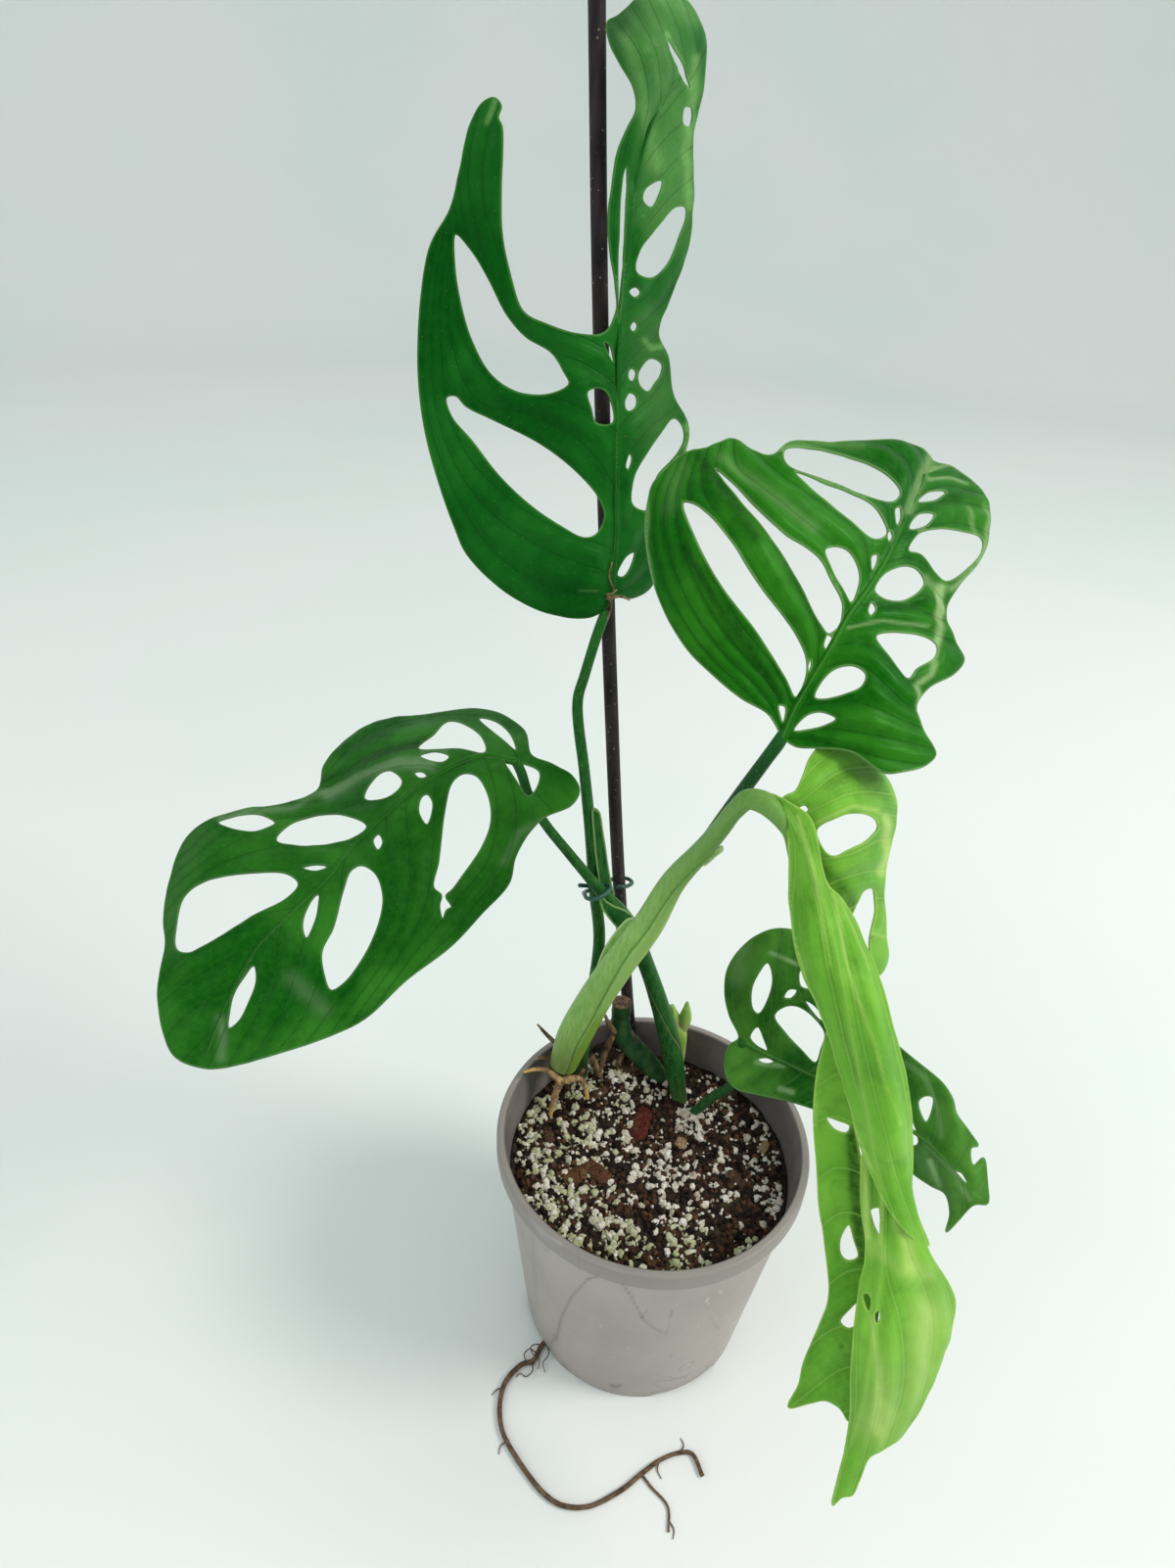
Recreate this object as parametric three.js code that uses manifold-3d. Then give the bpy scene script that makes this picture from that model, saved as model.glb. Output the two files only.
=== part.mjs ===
// A young Monstera epipremnoides in a nursery pot, tied to a thin stake.
// Millimetres, +Z up. The origin is the middle of the pot's underside, on the surface it stands on.
import * as THREE from 'three';
import { mergeVertices } from 'three/addons/utils/BufferGeometryUtils.js';
import Module from 'manifold-3d';

const wasm = await Module();
wasm.setup();

// Driving dimensions.
const pot = {
  height: 104.5,
  rimRadius: 60,
  lipHeight: 8,
  lipEdge: 1,
  shoulderRadius: 57.2,
  footRadius: 46.2,
  wall: 1.3,
  floorLift: 3,
  floorThickness: 1.4,
  footWidth: 5,
  padRadius: 12,
  drainRadius: 4,
  drainCircle: 27,
  drainCount: 8,
  notchCount: 4,
  notchTurn: -62.7,
  notchSpan: 37,
  notchHeight: 2.6,
};
const mix = {
  level: 87,
  mound: 8,
  moundPlace: [-12, 43],
  moundWidth: 14,
  depth: 80,
  wallGap: 0.35,
  grainCount: 32,
  grainRadius: [1.3, 2.4],
  chipCount: 8,
};
const stakeRadius = 2.6;
const tieRadius = 0.8;
const bladeThickness = 0.8;
const clearance = 0.35;

// The leaves and stems are traced from one picture of the plant, 1200 by 1601 pixels. A traced
// point is [x, y, depth]: x to the right and y down in pixels, and millimetres into the view.
const view = {
  eye: new THREE.Vector3(-33.3, -251.8, 415.5),
  tilt: THREE.MathUtils.degToRad(31.8),
  roll: THREE.MathUtils.degToRad(3.5),
  focalLength: 1000,
  middle: [600, 800.5],
};
view.forward = new THREE.Vector3(0, Math.cos(view.tilt), -Math.sin(view.tilt));
view.right = new THREE.Vector3(1, 0, 0).applyAxisAngle(view.forward, -view.roll);
view.up = view.right.clone().cross(view.forward);

function fromView([x, y, depth]) {
  const across = (depth * (x - view.middle[0])) / view.focalLength;
  const upward = (depth * (view.middle[1] - y)) / view.focalLength;
  return view.eye
    .clone()
    .addScaledVector(view.forward, depth)
    .addScaledVector(view.right, across)
    .addScaledVector(view.up, upward);
}

// Solids for joining and cutting.
function toSolid(geometry) {
  const bare = geometry.clone();
  bare.deleteAttribute('normal');
  bare.deleteAttribute('uv');
  const merged = mergeVertices(bare, 1e-4);
  const vertProperties = new Float32Array(merged.attributes.position.array);
  const triVerts = new Uint32Array(merged.index.array);
  return new wasm.Manifold(new wasm.Mesh({ numProp: 3, vertProperties, triVerts }));
}

function toGeometry(solid) {
  const mesh = solid.getMesh();
  const geometry = new THREE.BufferGeometry();
  geometry.setAttribute('position', new THREE.BufferAttribute(mesh.vertProperties, 3));
  geometry.setIndex(new THREE.BufferAttribute(mesh.triVerts, 1));
  return geometry;
}

function joined(geometries) {
  return geometries.map(toSolid).reduce((whole, piece) => whole.add(piece));
}

function meshGeometry(points, faces) {
  const geometry = new THREE.BufferGeometry();
  geometry.setFromPoints(points);
  geometry.setIndex(faces.flat());
  return geometry;
}

// A closed tube along a smooth route. Its radius runs from point to point of the route.
function stem(route, radii, { sides = 8, steps = 20, grow = 0 } = {}) {
  const curve = new THREE.CatmullRomCurve3(route, false, 'centripetal');
  const frames = curve.computeFrenetFrames(steps, false);
  const points = [];
  const faces = [];
  for (let step = 0; step <= steps; step++) {
    const along = step / steps;
    const place = curve.getUtoTmapping(along) * (radii.length - 1);
    const first = Math.min(Math.floor(place), radii.length - 2);
    const radius = THREE.MathUtils.lerp(radii[first], radii[first + 1], place - first) + grow;
    const centre = curve.getPointAt(along);
    for (let side = 0; side < sides; side++) {
      const angle = (2 * Math.PI * side) / sides;
      points.push(
        centre
          .clone()
          .addScaledVector(frames.normals[step], radius * Math.cos(angle))
          .addScaledVector(frames.binormals[step], radius * Math.sin(angle)),
      );
    }
  }
  for (let step = 0; step < steps; step++) {
    for (let side = 0; side < sides; side++) {
      const here = step * sides + side;
      const next = step * sides + ((side + 1) % sides);
      faces.push([here, next, here + sides], [next, next + sides, here + sides]);
    }
  }
  const lastRing = steps * sides;
  for (let side = 1; side < sides - 1; side++) {
    faces.push([0, side + 1, side], [lastRing, lastRing + side, lastRing + side + 1]);
  }
  return meshGeometry(points, faces);
}

// A leaf blade is one thin sheet. Its outline and holes are smooth closed curves through traced
// points, and its depth is a smooth surface through a few traced depths.
function closedCurve(corners, spacing) {
  const curve = new THREE.CatmullRomCurve3(
    corners.map(([x, y]) => new THREE.Vector3(x, y, 0)),
    true,
    'centripetal',
  );
  const count = Math.max(6, Math.round(curve.getLength() / spacing));
  return curve.getSpacedPoints(count).slice(0, count).map(({ x, y }) => new THREE.Vector2(x, y));
}

function solveLinear(matrix, values) {
  const size = values.length;
  const rows = matrix.map((row, index) => [...row, values[index]]);
  for (let pivot = 0; pivot < size; pivot++) {
    const below = rows.slice(pivot).map((row) => Math.abs(row[pivot]));
    const best = pivot + below.indexOf(Math.max(...below));
    [rows[pivot], rows[best]] = [rows[best], rows[pivot]];
    for (let row = pivot + 1; row < size; row++) {
      const factor = rows[row][pivot] / rows[pivot][pivot];
      for (let column = pivot; column <= size; column++) {
        rows[row][column] -= factor * rows[pivot][column];
      }
    }
  }
  const result = new Array(size).fill(0);
  for (let row = size - 1; row >= 0; row--) {
    const known = result.reduce((sum, value, column) => sum + value * rows[row][column], 0);
    result[row] = (rows[row][size] - known) / rows[row][row];
  }
  return result;
}

function depthSurface(traced) {
  const scale = 100;
  const bend = (x, y, centre) => (Math.hypot(x - centre[0], y - centre[1]) / scale) ** 3;
  const plane = (x, y) => [1, x / scale, y / scale];
  const rows = traced.map(([x, y]) => [...traced.map((centre) => bend(x, y, centre)), ...plane(x, y)]);
  for (let term = 0; term < 3; term++) {
    rows.push([...traced.map(([x, y]) => plane(x, y)[term]), 0, 0, 0]);
  }
  const weights = solveLinear(rows, [...traced.map(([, , depth]) => depth), 0, 0, 0]);
  return (x, y) => {
    const terms = [...traced.map((centre) => bend(x, y, centre)), ...plane(x, y)];
    return terms.reduce((sum, term, index) => sum + term * weights[index], 0);
  };
}

const turn = (a, b, c) => (b.x - a.x) * (c.y - a.y) - (b.y - a.y) * (c.x - a.x);

function insideCircle(a, b, c, point) {
  const [p, q, r] = [a, b, c].map((corner) => {
    const x = corner.x - point.x;
    const y = corner.y - point.y;
    return [x, y, x * x + y * y];
  });
  const first = p[0] * (q[1] * r[2] - q[2] * r[1]);
  const second = p[1] * (q[2] * r[0] - q[0] * r[2]);
  const third = p[2] * (q[0] * r[1] - q[1] * r[0]);
  return first + second + third > 1e-6;
}

function flipLongEdges(points, faces) {
  const sides = new Map();
  faces.forEach((face, index) => {
    face.forEach((from, corner) => sides.set(`${from} ${face[(corner + 1) % 3]}`, [index, corner]));
  });
  const changed = new Set();
  for (const [key, [left, leftCorner]] of sides) {
    const [from, to] = key.split(' ').map(Number);
    const across = sides.get(`${to} ${from}`);
    if (!across || from > to || changed.has(left) || changed.has(across[0])) continue;
    const [right, rightCorner] = across;
    const apex = faces[left][(leftCorner + 2) % 3];
    const far = faces[right][(rightCorner + 2) % 3];
    if (turn(points[apex], points[from], points[far]) < 1e-3) continue;
    if (turn(points[far], points[to], points[apex]) < 1e-3) continue;
    if (!insideCircle(points[from], points[to], points[apex], points[far])) continue;
    faces[left] = [apex, from, far];
    faces[right] = [far, to, apex];
    changed.add(left).add(right);
  }
  return changed.size > 0;
}

function splitIntoTriangles(outline, holes, inner) {
  const points = [...outline, ...holes.flat()];
  const faces = THREE.ShapeUtils.triangulateShape(outline, holes).map(([a, b, c]) =>
    turn(points[a], points[b], points[c]) > 0 ? [a, b, c] : [a, c, b],
  );
  for (const point of inner) {
    const hit = faces.findIndex((face) =>
      face.every((from, corner) => turn(points[from], points[face[(corner + 1) % 3]], point) > 1),
    );
    if (hit < 0) continue;
    const [a, b, c] = faces[hit];
    const added = points.push(point) - 1;
    faces.splice(hit, 1, [a, b, added], [b, c, added], [c, a, added]);
  }
  for (let pass = 0; pass < 100; pass++) {
    if (!flipLongEdges(points, faces)) break;
  }
  return { points, faces };
}

function gridInside(rim, spacing) {
  const box = new THREE.Box2().setFromPoints(rim);
  const margin = spacing * 0.5;
  const inner = [];
  const rowHeight = spacing * 0.87;
  for (let row = 0; box.min.y + row * rowHeight < box.max.y; row++) {
    for (let column = 0; box.min.x + column * spacing < box.max.x; column++) {
      const x = box.min.x + (column + (row % 2) / 2) * spacing;
      const point = new THREE.Vector2(x, box.min.y + row * rowHeight);
      if (rim.every((corner) => corner.distanceTo(point) > margin)) inner.push(point);
    }
  }
  return inner;
}

function thinSheet(flatPoints, faces, depthAt) {
  const middle = flatPoints.map(({ x, y }) => fromView([x, y, depthAt(x, y)]));
  const surface = meshGeometry(middle, faces);
  surface.computeVertexNormals();
  const normals = surface.attributes.normal;
  const shifted = (side) =>
    middle.map((point, index) => {
      const normal = new THREE.Vector3().fromBufferAttribute(normals, index);
      return point.clone().addScaledVector(normal, (side * bladeThickness) / 2);
    });
  const count = middle.length;
  const open = new Set(faces.flatMap(([a, b, c]) => [`${a} ${b}`, `${b} ${c}`, `${c} ${a}`]));
  const walls = [];
  for (const side of open) {
    const [from, to] = side.split(' ').map(Number);
    if (open.has(`${to} ${from}`)) continue;
    walls.push([to, from, from + count], [to, from + count, to + count]);
  }
  const back = faces.map(([a, b, c]) => [a + count, c + count, b + count]);
  return meshGeometry([...shifted(1), ...shifted(-1)], [...faces, ...back, ...walls]);
}

const tracing = { edge: 16, grid: 32 };

function sheet({ outline, holes = [], depths }) {
  const rim = closedCurve(outline, tracing.edge);
  const gaps = holes.map((hole) => closedCurve(hole, tracing.edge));
  const inner = gridInside([...rim, ...gaps.flat()], tracing.grid);
  const { points, faces } = splitIntoTriangles(rim, gaps, inner);
  return thinSheet(points, faces, depthSurface(depths));
}

function blade({ sheets, midrib, midribRadii }) {
  const depthAt = depthSurface(sheets[0].depths);
  const route = midrib.map(([x, y, depth]) => fromView([x, y, depth ?? depthAt(x, y)]));
  return joined([...sheets.map(sheet), stem(route, midribRadii, { sides: 6, steps: 16 })]);
}

// Leaf 1 stands highest, in front of the stake. Its left half is broad and its right half is
// turned away to the back.
const leafOne = {
  sheets: [
    {
      outline: [
        [618, 622], [598, 631], [560, 626], [528, 612], [502, 593], [476, 565], [464, 538],
        [450, 499], [434, 440], [427, 380], [430, 303], [440, 249], [459, 215], [468, 180],
        [480, 128], [492, 106], [505, 100], [512, 108], [509, 120], [513, 130], [512, 191],
        [513, 239], [523, 287], [535, 318], [559, 331], [591, 341], [616, 340], [630, 318],
        [628, 290], [621, 240], [623, 200], [632, 150], [649, 112], [646, 88], [633, 65],
        [622, 42], [621, 22], [634, 14], [648, 2], [668, -12], [690, -8], [706, 8], [720, 38],
        [719, 75], [714, 110], [708, 135], [708, 200], [703, 250], [688, 295], [672, 340],
        [682, 365], [687, 402], [703, 436], [700, 462], [690, 500], [676, 560], [664, 600],
        [645, 611], [628, 608],
      ],
      holes: [
        [[465, 239], [480, 254], [498, 283], [518, 322], [537, 344], [563, 360], [576, 380],
          [581, 392], [558, 403], [528, 400], [502, 383], [482, 348], [469, 303], [464, 265]],
        [[456, 406], [465, 404], [476, 415], [502, 428], [543, 448], [573, 468], [599, 492],
          [611, 508], [617, 528], [608, 546], [596, 549], [574, 538], [543, 517], [510, 486],
          [482, 450], [461, 425]],
        [[600, 400], [612, 396], [622, 404], [626, 432], [609, 432], [604, 418]],
        [[617, 349], [623, 353], [627, 370], [621, 362]],
        [[632, 330], [640, 170], [636, 180], [633, 215]],
        [[651, 383], [664, 366], [676, 372], [674, 383], [668, 392], [662, 400], [654, 395]],
        [[645, 512], [648, 485], [660, 463], [676, 440], [688, 427], [697, 436], [698, 452],
          [686, 470], [672, 485], [664, 505], [660, 521], [650, 519]],
        [[650, 278], [652, 258], [668, 236], [690, 211], [700, 212], [694, 240], [681, 270],
          [665, 284]],
        [[657, 205], [660, 192], [676, 184], [672, 200], [665, 212]],
        [[699, 109], [706, 110], [704, 130], [697, 126]],
        [[682, 38], [691, 54], [700, 72], [704, 90], [698, 82], [688, 62]],
        [[643, 334], [647, 328], [651, 333], [647, 339]],
        [[643, 298], [649, 293], [654, 299], [648, 304]],
        [[641, 385], [644, 376], [649, 380], [645, 390]],
        [[638, 412], [643, 401], [650, 406], [648, 417], [641, 420]],
        [[639, 476], [643, 463], [645, 468], [641, 480]],
        [[631, 588], [638, 570], [648, 564], [644, 578], [636, 589]],
      ],
      depths: [
        [622, 616, 330], [629, 500, 317], [631, 402, 304], [634, 300, 292], [648, 175, 279],
        [668, 100, 270], [560, 628, 331], [500, 595, 325], [464, 538, 316], [433, 428, 300],
        [430, 303, 286], [465, 204, 273], [505, 105, 262], [540, 450, 308], [540, 330, 290],
        [664, 602, 345], [700, 440, 328], [686, 395, 322], [672, 345, 314], [702, 250, 304],
        [708, 190, 298], [712, 120, 290], [625, 30, 262], [650, 50, 256], [668, -5, 262],
        [716, 50, 280],
      ],
    },
  ],
  midrib: [
    [621, 618], [628, 555], [629, 500], [631, 402], [633, 330], [640, 255], [652, 170],
    [672, 110], [694, 80],
  ],
  midribRadii: [1.9, 1.6, 1.4, 1.2, 1.1, 0.9, 0.8, 0.7, 0.6],
};

// Leaf 2 faces forward on the right, with long strap-like lobes and a curled right margin.
const leafTwo = {
  sheets: [
    {
      outline: [
        [799, 752], [792, 740], [783, 728], [757, 713], [730, 691], [702, 663], [680, 628],
        [667, 592], [660, 554], [660, 523], [666, 497], [679, 479], [699, 463], [720, 458],
        [748, 448], [768, 460], [788, 465], [806, 452], [850, 452], [883, 450], [920, 451],
        [940, 457], [953, 471], [972, 477], [998, 496], [1009, 514], [1009, 550], [998, 575],
        [976, 602], [966, 628], [974, 652], [984, 674], [974, 688], [949, 702], [936, 720],
        [944, 748], [955, 770], [946, 781], [922, 788], [902, 789], [870, 768], [834, 764],
        [812, 762],
      ],
      holes: [
        [[698, 513], [712, 517], [741, 545], [774, 595], [812, 647], [823, 672], [823, 692],
          [813, 712], [801, 691], [772, 645], [737, 599], [712, 554]],
        [[731, 480], [745, 491], [774, 521], [801, 546], [835, 569], [848, 592], [861, 621],
          [857, 640], [846, 647], [837, 636], [818, 600], [784, 545], [752, 507]],
        [[842, 562], [853, 558], [867, 565], [877, 586], [876, 604], [870, 615], [859, 600],
          [848, 580]],
        [[801, 460], [820, 458], [875, 470], [905, 485], [919, 503], [911, 513], [890, 508],
          [845, 491], [803, 474]],
        [[812, 483], [850, 497], [889, 514], [900, 527], [906, 545], [894, 551], [867, 531],
          [838, 508]],
        [[913, 520], [919, 518], [921, 528], [917, 536]],
        [[906, 546], [910, 541], [912, 548], [908, 553]],
        [[890, 568], [897, 566], [896, 576], [892, 582]],
        [[886, 625], [890, 615], [894, 622], [889, 629]],
        [[842, 660], [845, 648], [850, 650], [846, 664]],
        [[825, 680], [828, 673], [829, 680], [826, 686]],
        [[795, 720], [802, 722], [800, 738], [797, 732]],
        [[939, 512], [949, 502], [965, 503], [955, 511]],
        [[929, 540], [938, 525], [953, 526], [946, 537]],
        [[927, 562], [938, 545], [957, 540], [976, 542], [1001, 549], [1002, 562], [987, 581],
          [966, 594], [955, 585], [940, 566]],
        [[894, 603], [905, 585], [924, 578], [937, 583], [944, 596], [924, 613], [904, 612]],
        [[894, 650], [911, 646], [945, 651], [955, 660], [953, 672], [935, 684], [928, 693],
          [908, 670]],
        [[832, 712], [839, 696], [853, 683], [872, 680], [884, 689], [880, 701], [863, 709],
          [840, 714]],
        [[811, 746], [823, 731], [838, 727], [854, 734], [842, 741], [826, 745]],
      ],
      depths: [
        [799, 752, 265], [828, 696, 264], [867, 628, 266], [908, 565, 272], [935, 515, 279],
        [946, 480, 286], [757, 713, 263], [702, 663, 260], [665, 592, 262], [660, 523, 265],
        [680, 479, 268], [716, 459, 268], [760, 456, 268], [740, 570, 252], [800, 610, 256],
        [790, 520, 258], [850, 520, 265], [810, 455, 270], [880, 452, 280], [940, 457, 290],
        [834, 765, 264], [904, 787, 260], [953, 770, 266], [940, 718, 268], [984, 674, 282],
        [968, 628, 282], [998, 575, 296], [1008, 515, 304], [972, 477, 300], [900, 705, 262],
        [960, 560, 284],
      ],
    },
  ],
  midrib: [
    [799, 754], [812, 724], [828, 696], [848, 663], [867, 628], [889, 597], [908, 565],
    [924, 532], [944, 485],
  ],
  midribRadii: [1.9, 1.8, 1.6, 1.5, 1.4, 1.2, 1, 0.8, 0.6],
};

// Leaf 3 reaches out to the left. Its near half hangs towards the front and its far basal lobe
// folds up behind.
const leafThree = {
  sheets: [
    {
      outline: [
        [324, 807], [331, 781], [354, 755], [386, 737], [440, 729], [486, 724], [515, 731],
        [536, 747], [543, 771], [565, 781], [584, 792], [592, 807], [584, 822], [556, 835],
        [537, 855], [526, 877], [520, 902], [492, 933], [461, 966], [415, 1001], [373, 1040],
        [339, 1057], [293, 1073], [223, 1091], [200, 1089], [180, 1080], [169, 1061],
        [161, 1021], [163, 994], [169, 965], [167, 939], [174, 896], [187, 860], [207, 841],
        [241, 828], [287, 821],
      ],
      holes: [
        [[181, 940], [189, 915], [210, 900], [253, 892], [293, 893], [305, 903], [293, 917],
          [262, 933], [235, 950], [204, 968], [192, 973], [181, 970]],
        [[282, 858], [299, 841], [330, 832], [360, 835], [374, 843], [358, 856], [330, 863],
          [298, 863]],
        [[223, 840], [244, 833], [267, 833], [281, 841], [256, 849]],
        [[372, 815], [385, 793], [398, 787], [411, 798], [402, 811], [386, 817]],
        [[429, 772], [443, 768], [459, 773], [452, 779], [437, 776]],
        [[423, 789], [430, 788], [436, 792], [428, 794]],
        [[427, 764], [444, 750], [458, 736], [477, 741], [492, 753], [496, 767], [470, 765]],
        [[489, 734], [506, 737], [521, 750], [527, 766], [514, 756]],
        [[515, 774], [538, 781], [551, 789], [548, 805], [539, 813], [527, 797]],
        [[462, 799], [472, 790], [487, 793], [499, 814], [501, 840], [492, 865], [473, 893],
          [460, 910], [453, 934], [443, 912], [448, 880], [454, 830]],
        [[430, 815], [436, 811], [442, 820], [436, 842], [428, 830]],
        [[381, 858], [387, 852], [391, 860], [386, 868]],
        [[352, 905], [359, 889], [370, 884], [384, 893], [391, 915], [387, 942], [372, 976],
          [351, 1004], [338, 1011], [331, 995], [329, 972], [341, 946]],
        [[309, 945], [316, 922], [325, 913], [324, 932], [313, 958]],
        [[309, 886], [322, 883], [334, 885], [322, 889]],
        [[234, 1050], [237, 1020], [247, 1001], [259, 986], [262, 999], [254, 1024],
          [243, 1044]],
      ],
      depths: [
        [522, 775, 340], [446, 792, 334], [391, 835, 326], [336, 896, 318], [262, 969, 309],
        [226, 1037, 302], [205, 1088, 296], [526, 877, 330], [492, 933, 321], [461, 966, 315],
        [415, 1001, 308], [339, 1057, 300], [288, 1073, 297], [169, 1061, 300],
        [163, 994, 308], [172, 900, 322], [207, 841, 332], [290, 822, 344], [330, 805, 350],
        [354, 755, 364], [386, 737, 368], [446, 729, 371], [490, 726, 368], [536, 748, 356],
        [590, 807, 342], [558, 833, 337], [320, 850, 333], [430, 750, 356], [480, 870, 325],
      ],
    },
  ],
  midrib: [
    [528, 778], [492, 773], [446, 792], [415, 813], [391, 835], [360, 865], [336, 896],
    [305, 926], [262, 969], [226, 1037], [210, 1080],
  ],
  midribRadii: [1.8, 1.8, 1.7, 1.6, 1.5, 1.4, 1.3, 1.2, 1, 0.8, 0.6],
};

// Leaf 4 is the young one, bent over at the top of its stalk. One half hangs in front as a strap,
// the upper lobes stand behind it and the pointed end hangs below.
const leafFour = {
  sheets: [
    {
      outline: [
        [786, 811], [798, 815], [812, 823], [825, 832], [832, 846], [836, 866], [841, 890],
        [847, 905], [859, 917], [871, 935], [882, 960], [893, 985], [903, 1013], [912, 1048],
        [922, 1085], [929, 1125], [932, 1170], [931, 1205], [936, 1238], [948, 1272],
        [930, 1262], [911, 1240], [895, 1212], [881, 1178], [868, 1130], [853, 1080],
        [836, 1030], [820, 995], [811, 960], [806, 915], [806, 870], [804, 852], [797, 838],
        [785, 828],
      ],
      depths: [
        [800, 828, 258], [815, 835, 256], [806, 900, 260], [828, 900, 254], [850, 912, 259],
        [830, 1000, 257], [860, 990, 252], [893, 985, 258], [855, 1080, 262],
        [888, 1075, 254], [922, 1085, 262], [880, 1170, 267], [908, 1165, 260],
        [931, 1170, 267], [915, 1235, 267], [934, 1235, 270], [945, 1270, 272],
      ],
    },
    {
      outline: [
        [796, 820], [803, 812], [812, 808], [820, 792], [826, 776], [835, 764], [850, 758],
        [868, 762], [886, 773], [900, 787], [910, 803], [916, 822], [913, 848], [907, 872],
        [903, 895], [903, 925], [905, 955], [907, 975], [903, 990], [896, 997], [889, 980],
        [889, 955], [893, 930], [891, 907], [882, 910], [875, 922], [868, 935], [856, 925],
        [846, 903], [838, 880], [831, 855], [822, 838], [806, 832],
      ],
      holes: [
        [[815, 826], [822, 822], [826, 827], [820, 831]],
        [[834, 847], [852, 836], [874, 830], [890, 834], [895, 845], [887, 857], [868, 867],
          [853, 874], [844, 871]],
      ],
      depths: [
        [800, 824, 259], [822, 838, 260], [835, 764, 266], [850, 800, 260], [868, 762, 272],
        [900, 787, 276], [880, 812, 264], [916, 822, 282], [905, 885, 286], [846, 900, 266],
        [868, 932, 272], [870, 890, 268], [903, 955, 288], [897, 995, 286],
      ],
    },
    {
      outline: [
        [846, 1052], [839, 1075], [833, 1105], [831, 1150], [834, 1185], [836, 1225],
        [841, 1260], [846, 1300], [846, 1328], [838, 1350], [828, 1373], [820, 1393],
        [816, 1413], [805, 1437], [826, 1433], [843, 1430], [857, 1437], [867, 1452],
        [874, 1450], [884, 1420], [893, 1370], [898, 1330], [902, 1300], [896, 1265],
        [887, 1235], [880, 1190], [873, 1150], [866, 1110], [858, 1075],
      ],
      holes: [
        [[844, 1141], [856, 1144], [868, 1149], [865, 1156], [852, 1153]],
        [[858, 1265], [867, 1250], [872, 1265], [876, 1284], [866, 1287], [859, 1281]],
        [[858, 1349], [866, 1338], [879, 1328], [884, 1339], [878, 1350], [867, 1356]],
      ],
      depths: [
        [846, 1052, 276], [833, 1105, 281], [866, 1110, 277], [832, 1180, 285],
        [880, 1190, 279], [843, 1290, 286], [890, 1240, 278], [902, 1300, 278.5],
        [893, 1370, 280], [882, 1430, 283], [820, 1395, 294], [805, 1437, 298],
        [845, 1432, 290], [860, 1340, 284], [872, 1450, 285],
      ],
    },
    {
      outline: [
        [936, 1242], [950, 1280], [967, 1308], [975, 1328], [971, 1358], [963, 1385],
        [951, 1415], [936, 1444], [920, 1467], [903, 1479], [888, 1487], [877, 1513],
        [870, 1527], [860, 1528], [850, 1537], [858, 1500], [864, 1475], [868, 1445],
        [869, 1400], [873, 1350], [878, 1310], [883, 1288], [884, 1264], [880, 1240],
        [879, 1205], [882, 1176], [889, 1176], [900, 1197], [913, 1217], [926, 1233],
      ],
      holes: [
        [[889, 1235], [899, 1234], [899, 1250], [898, 1262], [893, 1253], [890, 1243]],
        [[881, 1322], [886, 1320], [890, 1331], [887, 1340]],
        [[893, 1341], [898, 1338], [899, 1349], [895, 1352]],
      ],
      depths: [
        [936, 1245, 270.5], [881, 1240, 274], [885, 1180, 271.5], [912, 1220, 271.5],
        [950, 1280, 273], [975, 1328, 284], [963, 1385, 284],
        [930, 1450, 286], [925, 1350, 273], [900, 1300, 271], [880, 1300, 274],
        [872, 1360, 274], [869, 1420, 279], [895, 1400, 274], [895, 1430, 278],
        [868, 1470, 286], [900, 1478, 287], [852, 1535, 292], [875, 1515, 290],
      ],
    },
  ],
  midrib: [
    [799, 826, 258.5], [816, 850, 261], [838, 910, 266], [858, 990, 270], [875, 1080, 274],
    [892, 1170, 277], [901, 1230, 278], [901, 1290, 278.5], [893, 1350, 280], [882, 1430, 283],
    [868, 1475, 286.5],
  ],
  midribRadii: [1.8, 1.6, 1.5, 1.4, 1.4, 1.3, 1.2, 1.1, 1, 0.8, 0.6],
};

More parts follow.
